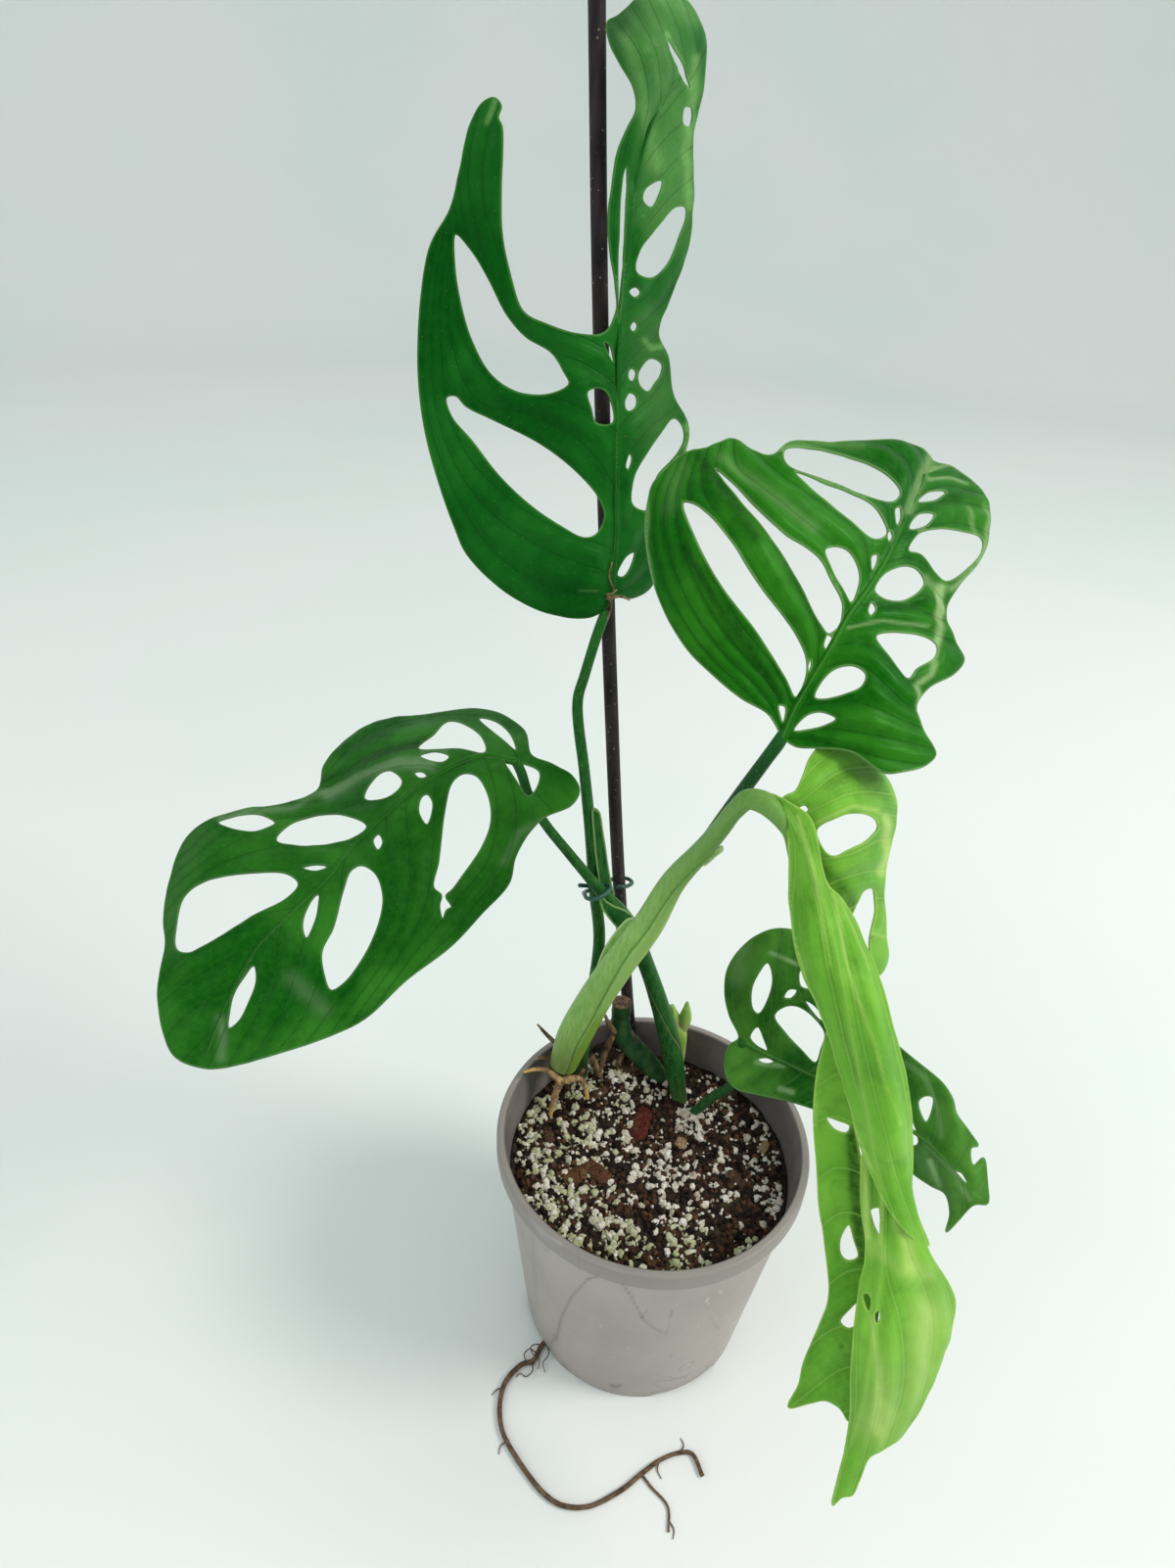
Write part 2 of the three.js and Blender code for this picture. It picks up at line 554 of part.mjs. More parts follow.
// Leaf 5 is low, behind leaf 4, over the pot's right edge. Its outer end is torn.
const leafFive = {
  sheets: [
    {
      outline: [
        [754, 1060], [745, 1037], [740, 1013], [742, 993], [751, 975], [768, 958],
        [785, 950], [800, 948], [818, 953], [850, 985], [885, 1030], [905, 1056],
        [932, 1080], [947, 1092], [963, 1106], [973, 1122], [977, 1137], [990, 1155],
        [999, 1170], [992, 1172], [994, 1190], [1004, 1182], [1009, 1213], [1008, 1229],
        [995, 1230], [980, 1245], [966, 1258], [970, 1239], [965, 1219], [951, 1211],
        [932, 1198], [915, 1180], [890, 1162], [866, 1148], [832, 1133], [810, 1126],
        [790, 1121], [770, 1117], [752, 1112], [742, 1100], [740, 1084], [745, 1067],
      ],
      holes: [
        [[784, 983], [789, 997], [786, 1015], [775, 1035], [769, 1030], [768, 1010],
          [775, 994]],
        [[801, 1018], [806, 1010], [814, 1011], [808, 1019]],
        [[818, 990], [845, 1000], [868, 1028], [872, 1045], [852, 1035], [832, 1012],
          [818, 1007]],
        [[791, 1037], [801, 1028], [813, 1027], [828, 1036], [842, 1055], [838, 1072],
          [833, 1085], [819, 1072], [803, 1055]],
        [[766, 1059], [774, 1048], [780, 1061], [783, 1073], [773, 1068]],
        [[823, 1022], [832, 1027], [844, 1044], [836, 1040]],
        [[774, 1082], [782, 1080], [790, 1084], [782, 1086]],
        [[938, 1125], [945, 1119], [953, 1121], [946, 1146]],
        [[930, 1140], [934, 1150], [937, 1168], [933, 1170]],
        [[976, 1196], [982, 1197], [988, 1208], [981, 1204]],
      ],
      depths: [
        [756, 1061, 390], [800, 1080, 381], [850, 1110, 366], [900, 1135, 350],
        [945, 1165, 338], [990, 1210, 327], [740, 1013, 391], [768, 958, 385],
        [802, 948, 380], [790, 1000, 378], [850, 985, 370], [905, 1056, 356],
        [947, 1092, 346], [973, 1122, 340], [999, 1170, 334], [1009, 1215, 328],
        [742, 1098, 387], [770, 1117, 380], [832, 1133, 365], [890, 1162, 350],
        [932, 1198, 338], [968, 1256, 326],
      ],
    },
  ],
  midrib: [[758, 1062], [775, 1072], [800, 1084], [850, 1108], [900, 1135], [945, 1165], [985, 1208]],
  midribRadii: [1.7, 1.6, 1.5, 1.3, 1.1, 0.9, 0.6],
};

const blades = [leafOne, leafTwo, leafThree, leafFour, leafFive];
const bladeColours = [0x1d6a2c, 0x2f7d26, 0x2c6f2c, 0x7fb52c, 0x24662a];

// Leaf stalks, from the growing mix or the rhizome up to their blades.
const stalks = [
  {
    colour: 0x2c5c2a,
    route: [
      [592, 1112, 421], [595, 1076, 412], [604, 1020, 403], [612, 960, 391], [607, 905, 374],
      [603, 850, 361], [597, 790, 351], [590, 716, 342], [597, 690, 339], [611, 645, 333],
      [619, 624, 331],
    ],
    radii: [2.7, 2.7, 2.5, 2.4, 2.3, 2.2, 2, 1.9, 1.8, 1.8, 1.8],
  },
  {
    colour: 0x1d4426,
    route: [
      [577, 1112, 419], [579.5, 1078, 410.3], [611, 1030, 393.5], [662, 950, 360], [700, 890, 326],
      [735, 840, 297], [765, 799, 278], [785, 772, 270], [796, 757, 266.5],
    ],
    radii: [2.4, 2.4, 2.4, 2.3, 2.2, 2.1, 2, 1.9, 1.9],
  },
  {
    colour: 0x235a28,
    route: [
      [694, 1124, 413], [687, 1080, 408], [675, 1030, 400], [660, 985, 390], [643, 948, 377.5],
      [630, 930, 372], [617, 914, 367.3], [605, 900, 364.5], [580, 870, 357.5], [556, 840, 352],
      [540, 812, 348], [532, 788, 343], [527, 778, 340.4],
    ],
    radii: [3.4, 4.2, 3.8, 3.3, 3.9, 3.6, 2.5, 2.1, 1.9, 1.8, 1.8, 1.8, 1.7],
  },
  {
    colour: 0x8fb865,
    route: [
      [575, 1086, 401], [586, 1058, 392], [607, 1020, 378], [631, 985, 362], [661, 945, 343],
      [682, 902, 321], [711, 870, 299], [731, 847, 283], [749, 827, 270], [766, 815, 262],
      [782, 821, 259], [794, 833, 258.5], [801, 843, 258.5],
    ],
    radii: [5.6, 6.8, 6.4, 5.7, 6, 4, 2.7, 2.6, 2.5, 2.8, 3.1, 3.1, 2.4],
  },
  {
    colour: 0x1f5a28,
    route: [
      [708, 1136, 409], [728, 1120, 402], [745, 1109, 397], [754, 1088, 394.5],
      [757, 1071, 391], [759, 1062, 389],
    ],
    radii: [2, 2, 1.9, 1.8, 1.7, 1.6],
  },
];

function stalkSolid({ route, radii }, grow = 0) {
  return toSolid(stem(route.map(fromView), radii, { grow, steps: 24, sides: 7 }));
}

// The creeping stem: its older end was cut off square, and it dips into the mix.
const rhizome = {
  route: [
    [635, 1023, 405], [634, 1040, 409], [636, 1055, 412], [647, 1070, 415], [662, 1086, 417],
    [676, 1103, 421],
  ],
  radii: [4.1, 4, 4.3, 4.6, 4.5, 4],
};

function rhizomeSolid(grow = 0) {
  return toSolid(stem(rhizome.route.map(fromView), rhizome.radii, { grow, steps: 12, sides: 10 }));
}

// Aerial roots meet in a small crown under the young leaf's stalk.
const aerialRoots = [
  {
    route: [[573, 1104, 397.5], [569, 1112, 399], [565, 1125, 401], [562, 1139, 402]],
    radii: [2.2, 1.7, 1.5, 1],
  },
  {
    route: [[573, 1104, 397.5], [558, 1093, 396], [546, 1092, 394], [535, 1095, 392]],
    radii: [2.2, 1.3, 1, 0.6],
  },
  {
    route: [[573, 1104, 397.5], [590, 1101, 400], [597, 1108, 403], [600, 1122, 405]],
    radii: [2.2, 1.6, 1.5, 1.3],
  },
];

function rootsSolid(grow = 0) {
  return aerialRoots
    .map(({ route, radii }) => stem(route.map(fromView), radii, { grow, steps: 8, sides: 6 }))
    .map(toSolid)
    .reduce((whole, root) => whole.add(root));
}

// A new shoot with a split tip stands by the back wall.
const shoot = {
  base: [[693, 1086, 424], [693, 1070, 421], [692, 1052, 417], [690, 1041, 415]],
  baseRadii: [2.2, 3.2, 3.9, 2.2],
  tips: [
    [[690, 1046, 416], [687, 1036, 414], [686, 1027, 412]],
    [[695, 1050, 417], [700, 1038, 414], [699, 1025, 412]],
  ],
  tipRadii: [2.4, 2, 0.6],
};

function shootSolid(grow = 0) {
  const body = toSolid(stem(shoot.base.map(fromView), shoot.baseRadii, { grow, steps: 8 }));
  return shoot.tips
    .map((tip) => toSolid(stem(tip.map(fromView), shoot.tipRadii, { grow, steps: 4, sides: 6 })))
    .reduce((whole, tip) => whole.add(tip), body);
}

// The stake is slightly bent. It leans back and ends square just above the leaves.
const stakeRoute = [
  [650, 1190, 449], [645, 1078, 427.5], [640, 1010, 416.8], [631, 880, 390], [623.5, 700, 357],
  [616, 450, 323], [612, 250, 298], [610, 50, 278], [609, -60, 266],
];

function stakeSolid(grow = 0) {
  const route = stakeRoute.map(fromView);
  const radii = route.map(() => stakeRadius);
  return toSolid(stem(route, radii, { grow, steps: 12, sides: 10 }));
}

// The growing mix fills the pot. Its top is mounded round the plant and rough with grains.
function mixHeight(x, y) {
  const [moundX, moundY] = mix.moundPlace;
  const away = ((x - moundX) ** 2 + (y - moundY) ** 2) / (2 * mix.moundWidth ** 2);
  const calm = Math.min(1, Math.hypot(x, y) / 20);
  const rough = calm * Math.sin(x * 0.61 + 2 * Math.sin(y * 0.37)) * Math.cos(y * 0.53 + 0.3 * x);
  return mix.level + mix.mound * Math.exp(-away) + 0.7 * rough;
}

function innerRadius(z) {
  const slope = (pot.shoulderRadius - pot.footRadius) / (pot.height - pot.lipHeight);
  return pot.footRadius + slope * z - pot.wall;
}

function randomNumbers(seed) {
  let state = seed;
  return () => {
    state = (state * 1664525 + 1013904223) % 4294967296;
    return state / 4294967296;
  };
}

function mixBody() {
  const sectors = 36;
  const rings = 7;
  const points = [];
  const faces = [];
  const floor = mix.level - mix.depth;
  points.push(new THREE.Vector3(0, 0, mixHeight(0, 0)));
  for (let ring = 1; ring <= rings; ring++) {
    for (let sector = 0; sector < sectors; sector++) {
      const angle = (2 * Math.PI * (sector + (ring % 2) / 2)) / sectors;
      const edge = innerRadius(mix.level) - mix.wallGap;
      const radius = (edge * ring) / rings;
      const x = radius * Math.cos(angle);
      const y = radius * Math.sin(angle);
      const height = ring === rings ? Math.min(mixHeight(x, y), mix.level) : mixHeight(x, y);
      points.push(new THREE.Vector3(x, y, height));
    }
  }
  const lastRing = 1 + (rings - 1) * sectors;
  for (let sector = 0; sector < sectors; sector++) {
    const { x, y } = points[lastRing + sector];
    const shrink = (innerRadius(floor) - mix.wallGap) / Math.hypot(x, y);
    points.push(new THREE.Vector3(x * shrink, y * shrink, floor));
  }
  const bottom = points.push(new THREE.Vector3(0, 0, floor)) - 1;
  for (let sector = 0; sector < sectors; sector++) {
    const next = (sector + 1) % sectors;
    faces.push([0, 1 + sector, 1 + next]);
    for (let ring = 0; ring < rings; ring++) {
      const inner = 1 + ring * sectors;
      const outer = inner + sectors;
      if (ring < rings - 1 && ring % 2 === 0) {
        faces.push([inner + sector, outer + sector, outer + next]);
        faces.push([inner + sector, outer + next, inner + next]);
      } else {
        faces.push([inner + sector, outer + sector, inner + next]);
        faces.push([outer + sector, outer + next, inner + next]);
      }
    }
    faces.push([bottom, lastRing + sectors + next, lastRing + sectors + sector]);
  }
  return toSolid(meshGeometry(points, faces));
}

function grains() {
  const random = randomNumbers(17);
  const pieces = [];
  const placed = (geometry, sink) => {
    const radius = 0.93 * innerRadius(mix.level) * Math.sqrt(random());
    const angle = 2 * Math.PI * random();
    const x = radius * Math.cos(angle);
    const y = radius * Math.sin(angle);
    geometry.rotateX(6 * random()).rotateZ(6 * random());
    pieces.push(geometry.translate(x, y, mixHeight(x, y) + sink));
  };
  for (let count = 0; count < mix.grainCount; count++) {
    const radius = THREE.MathUtils.lerp(...mix.grainRadius, random());
    placed(new THREE.OctahedronGeometry(radius, 0), 0.1);
  }
  for (let count = 0; count < mix.chipCount; count++) {
    const long = 5 + 5 * random();
    placed(new THREE.BoxGeometry(long, 0.6 * long, 2), 0.2);
  }
  return pieces.map(toSolid);
}

function mixSolid(standing) {
  const whole = grains().reduce((body, grain) => body.add(grain), mixBody());
  const inside = new THREE.CylinderGeometry(
    innerRadius(pot.height) - mix.wallGap,
    innerRadius(0) - mix.wallGap,
    pot.height,
    44,
  );
  inside.rotateX(Math.PI / 2).translate(0, 0, pot.height / 2);
  const trimmed = whole.intersect(toSolid(inside));
  return standing.reduce((body, piece) => body.subtract(piece), trimmed);
}

// The pot: a turned shell with a rolled lip, drainage holes and a notched foot ring.
function potSolid() {
  const floorTop = pot.floorLift + pot.floorThickness;
  const footInner = pot.footRadius - pot.footWidth;
  const lipFoot = pot.height - pot.lipHeight;
  const shell = [
    [0, 0],
    [pot.padRadius, 0],
    [pot.padRadius + 2, pot.floorLift],
    [footInner - 2, pot.floorLift],
    [footInner, 0],
    [pot.footRadius, 0],
    [pot.shoulderRadius, lipFoot],
    [pot.rimRadius - pot.lipEdge, lipFoot],
    [pot.rimRadius, lipFoot + pot.lipEdge],
    [pot.rimRadius, pot.height - 1.5 * pot.lipEdge],
    [pot.rimRadius - pot.lipEdge, pot.height],
    [innerRadius(pot.height) + pot.lipEdge, pot.height],
    [innerRadius(pot.height), pot.height - pot.lipEdge],
    [innerRadius(floorTop), floorTop],
    [pot.padRadius + 4, floorTop],
    [pot.padRadius + 1, pot.floorThickness],
    [0, pot.floorThickness],
  ];
  const profile = shell.map(([radius, z]) => new THREE.Vector2(radius, z));
  const turned = new THREE.LatheGeometry(profile, 44).rotateX(Math.PI / 2);
  let body = toSolid(turned);
  for (let hole = 0; hole < pot.drainCount; hole++) {
    const angle = (2 * Math.PI * (hole + 0.5)) / pot.drainCount;
    const drill = new THREE.CylinderGeometry(pot.drainRadius, pot.drainRadius, 6, 12);
    drill.rotateX(Math.PI / 2);
    drill.translate(pot.drainCircle * Math.cos(angle), pot.drainCircle * Math.sin(angle), floorTop);
    body = body.subtract(toSolid(drill));
  }
  const notchWidth = 2 * pot.footRadius * Math.sin(THREE.MathUtils.degToRad(pot.notchSpan / 2));
  for (let notch = 0; notch < pot.notchCount; notch++) {
    const angle = THREE.MathUtils.degToRad(pot.notchTurn + (360 * notch) / pot.notchCount);
    const cutter = new THREE.BoxGeometry(14, notchWidth, 2 * pot.notchHeight);
    cutter.rotateZ(angle);
    cutter.translate(pot.footRadius * Math.cos(angle), pot.footRadius * Math.sin(angle), 0);
    body = body.subtract(toSolid(cutter));
  }
  return body;
}

// The wire tie: one soft wire hooked round the stake and round two leaf stalks.
const tieRoute = [
  [630, 905, 390.6], [636, 905.4, 390.8], [641.5, 904.4, 392.8], [645.5, 901.3, 395.4],
  [641.5, 897.4, 397.5], [634, 896.4, 398], [627, 896.8, 397.8], [622.5, 899.5, 395.2],
  [613, 904.5, 383], [603, 908.3, 379.8], [597.2, 911, 376.2], [597, 913.2, 368],
  [600.5, 917.5, 362], [608, 918, 360.4], [614.5, 915, 361.3], [619.6, 911.3, 363.2],
  [623, 907, 365.6], [620.3, 904, 369], [612, 905, 369.7], [604, 904.9, 369],
  [598, 904.3, 367.4], [591, 904, 366.3],
];

function tieSolid() {
  const route = tieRoute.map(fromView);
  return toSolid(stem(route, route.map(() => tieRadius), { steps: 56, sides: 5 }));
}

// One root has grown out under the pot and lies on the surface.
const escapedRoot = {
  radius: 1.1,
  route: [
    [-33, -24], [-38, -28.5], [-41, -35], [-46, -37], [-51.5, -44], [-53, -53], [-50.5, -63],
    [-43, -73], [-34, -82], [-26, -86], [-16, -85.5], [-5, -80], [3, -74], [10, -69],
    [18, -66], [22.5, -66], [26, -73.5],
  ],
  rootlet: [[3, -74], [6.5, -78], [12.5, -84], [12.5, -92]],
};

function escapedRootSolid() {
  const lying = ([x, y]) => new THREE.Vector3(x, y, escapedRoot.radius + 0.02);
  const main = escapedRoot.route.map(lying);
  const thin = escapedRoot.rootlet.map(([x, y]) => new THREE.Vector3(x, y, 0.6));
  const radii = main.map((_, index) => escapedRoot.radius - 0.02 * index);
  const whole = toSolid(stem(main, radii, { steps: 40, sides: 5 }));
  return whole.add(toSolid(stem(thin, [0.5, 0.5, 0.45, 0.4], { steps: 8, sides: 5 })));
}

// The whole part.
const plant = new THREE.Group();

function addPiece(name, solid, colour, roughness = 0.6) {
  const material = new THREE.MeshStandardMaterial({ color: colour, roughness, metalness: 0 });
  const mesh = new THREE.Mesh(toGeometry(solid), material);
  mesh.name = name;
  plant.add(mesh);
}

const standing = [
  stakeSolid(clearance),
  rhizomeSolid(clearance),
  rootsSolid(clearance),
  shootSolid(clearance),
  ...stalks.map((stalk) => stalkSolid(stalk, clearance)),
];

addPiece('pot', potSolid(), 0xa59b96);
addPiece('growing_mix', mixSolid(standing), 0x4a3a2c, 0.95);
addPiece('stake', stakeSolid(), 0x332b30);
addPiece('wire_tie', tieSolid(), 0x1a4238, 0.4);
addPiece('rhizome', rhizomeSolid(), 0x24472a);
addPiece('aerial_roots', rootsSolid(), 0xa87848, 0.8);
addPiece('new_shoot', shootSolid(), 0x6f9f3a);
addPiece('escaped_root', escapedRootSolid(), 0x4d3c30, 0.85);
stalks.forEach((stalk, index) => {
  addPiece(`leaf_stalk_${index + 1}`, stalkSolid(stalk), stalk.colour, 0.5);
});
blades.forEach((leaf, index) => {
  const ownStalk = stalkSolid(stalks[index], clearance);
  addPiece(`leaf_blade_${index + 1}`, blade(leaf).subtract(ownStalk), bladeColours[index], 0.45);
});

export default plant;
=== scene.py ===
# A young Monstera epipremnoides in a nursery pot, tied to a thin stake.
# Metres, +Z up. The origin is the middle of the pot's underside.
import math

import bpy
import numpy as np
from mathutils import Matrix, Vector, geometry, kdtree


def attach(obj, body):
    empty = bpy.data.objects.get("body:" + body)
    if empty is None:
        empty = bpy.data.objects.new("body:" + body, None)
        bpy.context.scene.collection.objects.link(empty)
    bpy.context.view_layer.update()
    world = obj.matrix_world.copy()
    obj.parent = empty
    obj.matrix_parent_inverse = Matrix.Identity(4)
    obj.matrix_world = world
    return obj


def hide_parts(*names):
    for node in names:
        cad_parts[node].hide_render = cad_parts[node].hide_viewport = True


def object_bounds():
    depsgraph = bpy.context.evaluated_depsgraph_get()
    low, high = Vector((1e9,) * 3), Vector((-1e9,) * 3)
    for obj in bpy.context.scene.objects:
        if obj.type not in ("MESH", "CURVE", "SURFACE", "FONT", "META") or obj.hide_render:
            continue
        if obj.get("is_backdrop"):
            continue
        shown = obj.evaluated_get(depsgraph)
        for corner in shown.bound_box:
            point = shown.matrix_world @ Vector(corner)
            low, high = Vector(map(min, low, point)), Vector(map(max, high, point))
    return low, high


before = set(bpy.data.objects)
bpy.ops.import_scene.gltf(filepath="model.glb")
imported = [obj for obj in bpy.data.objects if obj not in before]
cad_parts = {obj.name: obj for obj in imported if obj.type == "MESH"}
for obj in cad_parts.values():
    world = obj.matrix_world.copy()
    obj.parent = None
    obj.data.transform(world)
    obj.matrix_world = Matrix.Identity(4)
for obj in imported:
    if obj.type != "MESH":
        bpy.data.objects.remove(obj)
cad_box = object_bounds()

# The view. Leaves and stems are traced in one picture of the plant, as the camera here sees it:
# x to the right and y down in pixels, and the depth into the view in millimetres.
picture_size = (1200, 1601)
picture_middle = (picture_size[0] / 2, picture_size[1] / 2)
focal_pixels = 1000
eye = np.array([-0.0333, -0.2518, 0.4155])
view_tilt = math.radians(31.8)
view_roll = math.radians(3.5)
nearest_seen = 0.02
forward = np.array([0, math.cos(view_tilt), -math.sin(view_tilt)])
level_right = np.array([1.0, 0, 0])
right = math.cos(view_roll) * level_right - math.sin(view_roll) * np.cross(forward, level_right)
upward = np.cross(right, forward)

camera_lens = bpy.data.cameras.new("camera")
camera_lens.lens = focal_pixels * camera_lens.sensor_width / picture_size[1]
camera_lens.clip_start = nearest_seen
camera = bpy.data.objects.new("camera", camera_lens)
axes = np.array([right, upward, -forward]).T
camera.matrix_world = Matrix.Translation(eye) @ Matrix(axes.tolist()).to_4x4()
bpy.context.collection.objects.link(camera)
bpy.context.scene.camera = camera
bpy.context.scene.view_settings.view_transform = "Standard"

# The backdrop and the light: a wide pale floor that curves up into a round wall, a pale sky, a broad
# warm light from the right and a weaker cool one from the left.
backdrop_floor = 2.4
backdrop_turn = 1.1
backdrop_height = 2.6
backdrop_steps = 16
backdrop_sides = 128


def add_step(tree, kind, inputs=(), **settings):
    """One step of a material or shape recipe, fed with numbers, colours or other steps."""
    step = tree.nodes.new(kind)
    for name, value in settings.items():
        setattr(step, name, value)
    for name, value in dict(inputs).items():
        socket = step.inputs[name]
        if isinstance(value, bpy.types.NodeSocket):
            tree.links.new(value, socket)
        elif socket.type == "RGBA" and len(value) == 3:
            socket.default_value = (*value, 1)
        else:
            socket.default_value = value
    return step


def mixed(tree, share, first, second, way="MIX"):
    """Two colours mixed by a share of the second."""
    inputs = {0: share, 6: first, 7: second}
    return add_step(tree, "ShaderNodeMix", inputs, data_type="RGBA", blend_type=way).outputs[2]


def between(tree, value, low, high):
    """A smooth step from 0 at low to 1 at high."""
    inputs = {"Value": value, "From Min": low, "From Max": high}
    step = add_step(tree, "ShaderNodeMapRange", inputs, interpolation_type="SMOOTHSTEP")
    return step.outputs[0]


def grain(tree, scale, detail=3, stretch=(1, 1, 1), roughness=0.5, bend=0):
    """A cloudy pattern in the object itself, with so many clouds to the metre."""
    place = add_step(tree, "ShaderNodeTexCoord").outputs["Object"]
    turned = add_step(tree, "ShaderNodeMapping", {"Vector": place, "Scale": stretch}).outputs[0]
    inputs = {"Vector": turned, "Scale": scale, "Detail": detail, "Roughness": roughness, "Distortion": bend}
    return add_step(tree, "ShaderNodeTexNoise", inputs).outputs[0]


def new_finish(name, gloss=0.5, soft=0.0, shine=(1, 1, 1)):
    """A new material, with how glossy it is, how much light it lets in, and its sheen colour."""
    finish = bpy.data.materials.new(name)
    finish.use_nodes = True
    tree = finish.node_tree
    shader = tree.nodes["Principled BSDF"]
    shader.inputs["Specular IOR Level"].default_value = gloss
    shader.inputs["Subsurface Weight"].default_value = soft
    shader.inputs["Subsurface Radius"].default_value = (0.6, 1.0, 0.2)
    shader.inputs["Subsurface Scale"].default_value = 0.001
    shader.inputs["Specular Tint"].default_value = (*shine, 1)
    return finish, tree, shader


def set_surface(tree, shader, colour, roughness, height=None, lift=0.0002, strength=0.6):
    """Joins colour, roughness and fine relief to a material."""
    tree.links.new(colour, shader.inputs["Base Color"])
    if isinstance(roughness, float):
        shader.inputs["Roughness"].default_value = roughness
    else:
        tree.links.new(roughness, shader.inputs["Roughness"])
    if height is not None:
        inputs = {"Height": height, "Distance": lift, "Strength": strength}
        bump = add_step(tree, "ShaderNodeBump", inputs).outputs[0]
        tree.links.new(bump, shader.inputs["Normal"])


def new_object(name, points, faces):
    """A new object in the scene, from points in metres and its faces."""
    mesh = bpy.data.meshes.new(name)
    mesh.from_pydata(points, [], faces)
    made = bpy.data.objects.new(name, mesh)
    bpy.context.collection.objects.link(made)
    return made


def turned_faces(profile, segments):
    """Points and faces of a profile [radius, height] turned about the upright axis."""
    points, rings = [], []
    for radius, z in profile:
        if radius < 1e-6:
            rings.append([len(points)] * segments)
            points.append((0, 0, z))
            continue
        rings.append(list(range(len(points), len(points) + segments)))
        for k in range(segments):
            angle = 2 * math.pi * k / segments
            points.append((radius * math.cos(angle), radius * math.sin(angle), z))
    faces = []
    for low, high in zip(rings, rings[1:]):
        for k in range(segments):
            n = (k + 1) % segments
            face = list(dict.fromkeys((low[k], low[n], high[n], high[k])))
            if len(face) > 2:
                faces.append(face)
    return points, faces


backdrop_line = [(0, 0), (0.5, 0), (backdrop_floor, 0)]
for step in range(1, backdrop_steps + 1):
    angle = math.radians(90 * step / backdrop_steps)
    reach = backdrop_floor + backdrop_turn * math.sin(angle)
    backdrop_line.append((reach, backdrop_turn * (1 - math.cos(angle))))
backdrop_line.append((backdrop_floor + backdrop_turn, backdrop_height))
backdrop_points, backdrop_faces = turned_faces(backdrop_line[::-1], backdrop_sides)
backdrop = new_object("backdrop", backdrop_points, backdrop_faces)
backdrop.data.shade_smooth()
backdrop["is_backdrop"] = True
paper, tree, shader = new_finish("backdrop_paper", gloss=0.1)
tone = mixed(tree, between(tree, grain(tree, 1.3), 0.3, 0.7), (0.74, 0.80, 0.785), (0.80, 0.81, 0.815))
set_surface(tree, shader, tone, 0.85)
backdrop.data.materials.append(paper)

sky = bpy.data.worlds.new("studio")
sky.use_nodes = True
sky.node_tree.nodes["Background"].inputs["Color"].default_value = (0.95, 1.0, 0.985, 1)
sky.node_tree.nodes["Background"].inputs["Strength"].default_value = 0.78
bpy.context.scene.world = sky
light_aim = (0, 0, 0.2)


def add_light(name, place, size, power, colour):
    """A round soft light that faces the middle of the plant."""
    lamp = bpy.data.lights.new(name, "AREA")
    lamp.shape = "DISK"
    lamp.size = size
    lamp.energy = power
    lamp.color = colour
    light = bpy.data.objects.new(name, lamp)
    light.location = place
    aim = Vector(light_aim) - Vector(place)
    light.visible_camera = False
    light.rotation_euler = aim.to_track_quat("-Z", "Y").to_euler()
    bpy.context.collection.objects.link(light)


add_light("key_light", (1.5, -0.3, 1.5), 0.8, 27, (1.0, 0.95, 0.87))
add_light("fill_light", (-1.6, -1.0, 1.3), 1.6, 9, (0.90, 1.0, 0.97))

# The pot: a tapered nursery pot, moulded in one piece of taupe plastic, with a rolled lip, a notched
# foot ring and round drainage holes in its raised floor.
pot_height = 0.1045
rim_radius = 0.060
lip_height = 0.008
shoulder_radius = 0.0572
foot_radius = 0.0462
pot_wall = 0.0013
floor_lift = 0.003
floor_thickness = 0.0014
foot_width = 0.005
pad_radius = 0.012
drain_radius = 0.004
drain_circle = 0.027
notch_turn = -62.7
notch_span = 37
notch_height = 0.0026
notch_depth = 0.007
pot_segments = 300
drain_holes = 8
drain_sides = 24
foot_notches = 4


def maths(tree, operation, *values):
    """The result of a sum on numbers or other steps."""
    return add_step(tree, "ShaderNodeMath", dict(enumerate(values)), operation=operation).outputs[0]


def tinted(tree, base, mask, amount, colour):
    """A colour laid over a base where the mask lets it through."""
    return mixed(tree, maths(tree, "MULTIPLY", mask, amount), base, colour)


def specks(tree, scale, size):
    """Small round spots of uneven strength."""
    place = add_step(tree, "ShaderNodeTexCoord").outputs["Object"]
    cells = add_step(tree, "ShaderNodeTexVoronoi", {"Vector": place, "Scale": scale})
    pick = add_step(tree, "ShaderNodeSeparateColor", {0: cells.outputs["Color"]})
    spot = between(tree, cells.outputs["Distance"], size, 0.6 * size)
    return maths(tree, "MULTIPLY", spot, pick.outputs[0])


def own(tree, name):
    """A mark that the mesh carries."""
    return add_step(tree, "ShaderNodeAttribute", attribute_name=name).outputs["Fac"]


def add_piece(name, points, faces, finish, nodes=(), sharp=None, marks=None):
    """One piece of the plant from points in metres, riding on the plant's only body."""
    piece = new_object(name, np.asarray(points).tolist(), [tuple(face) for face in faces])
    mesh = piece.data
    mesh.shade_smooth()
    if sharp:
        mesh.set_sharp_from_angle(angle=math.radians(sharp))
    for mark, (domain, values) in (marks or {}).items():
        mesh.attributes.new(mark, "FLOAT", domain).data.foreach_set("value", np.asarray(values, float))
    mesh.materials.append(finish)
    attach(piece, "root")
    if nodes:
        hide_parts(*nodes)
    return piece


def inner_radius(z):
    """The pot's radius inside its wall at a height."""
    slope = (shoulder_radius - foot_radius) / (pot_height - lip_height)
    return foot_radius + slope * z - pot_wall


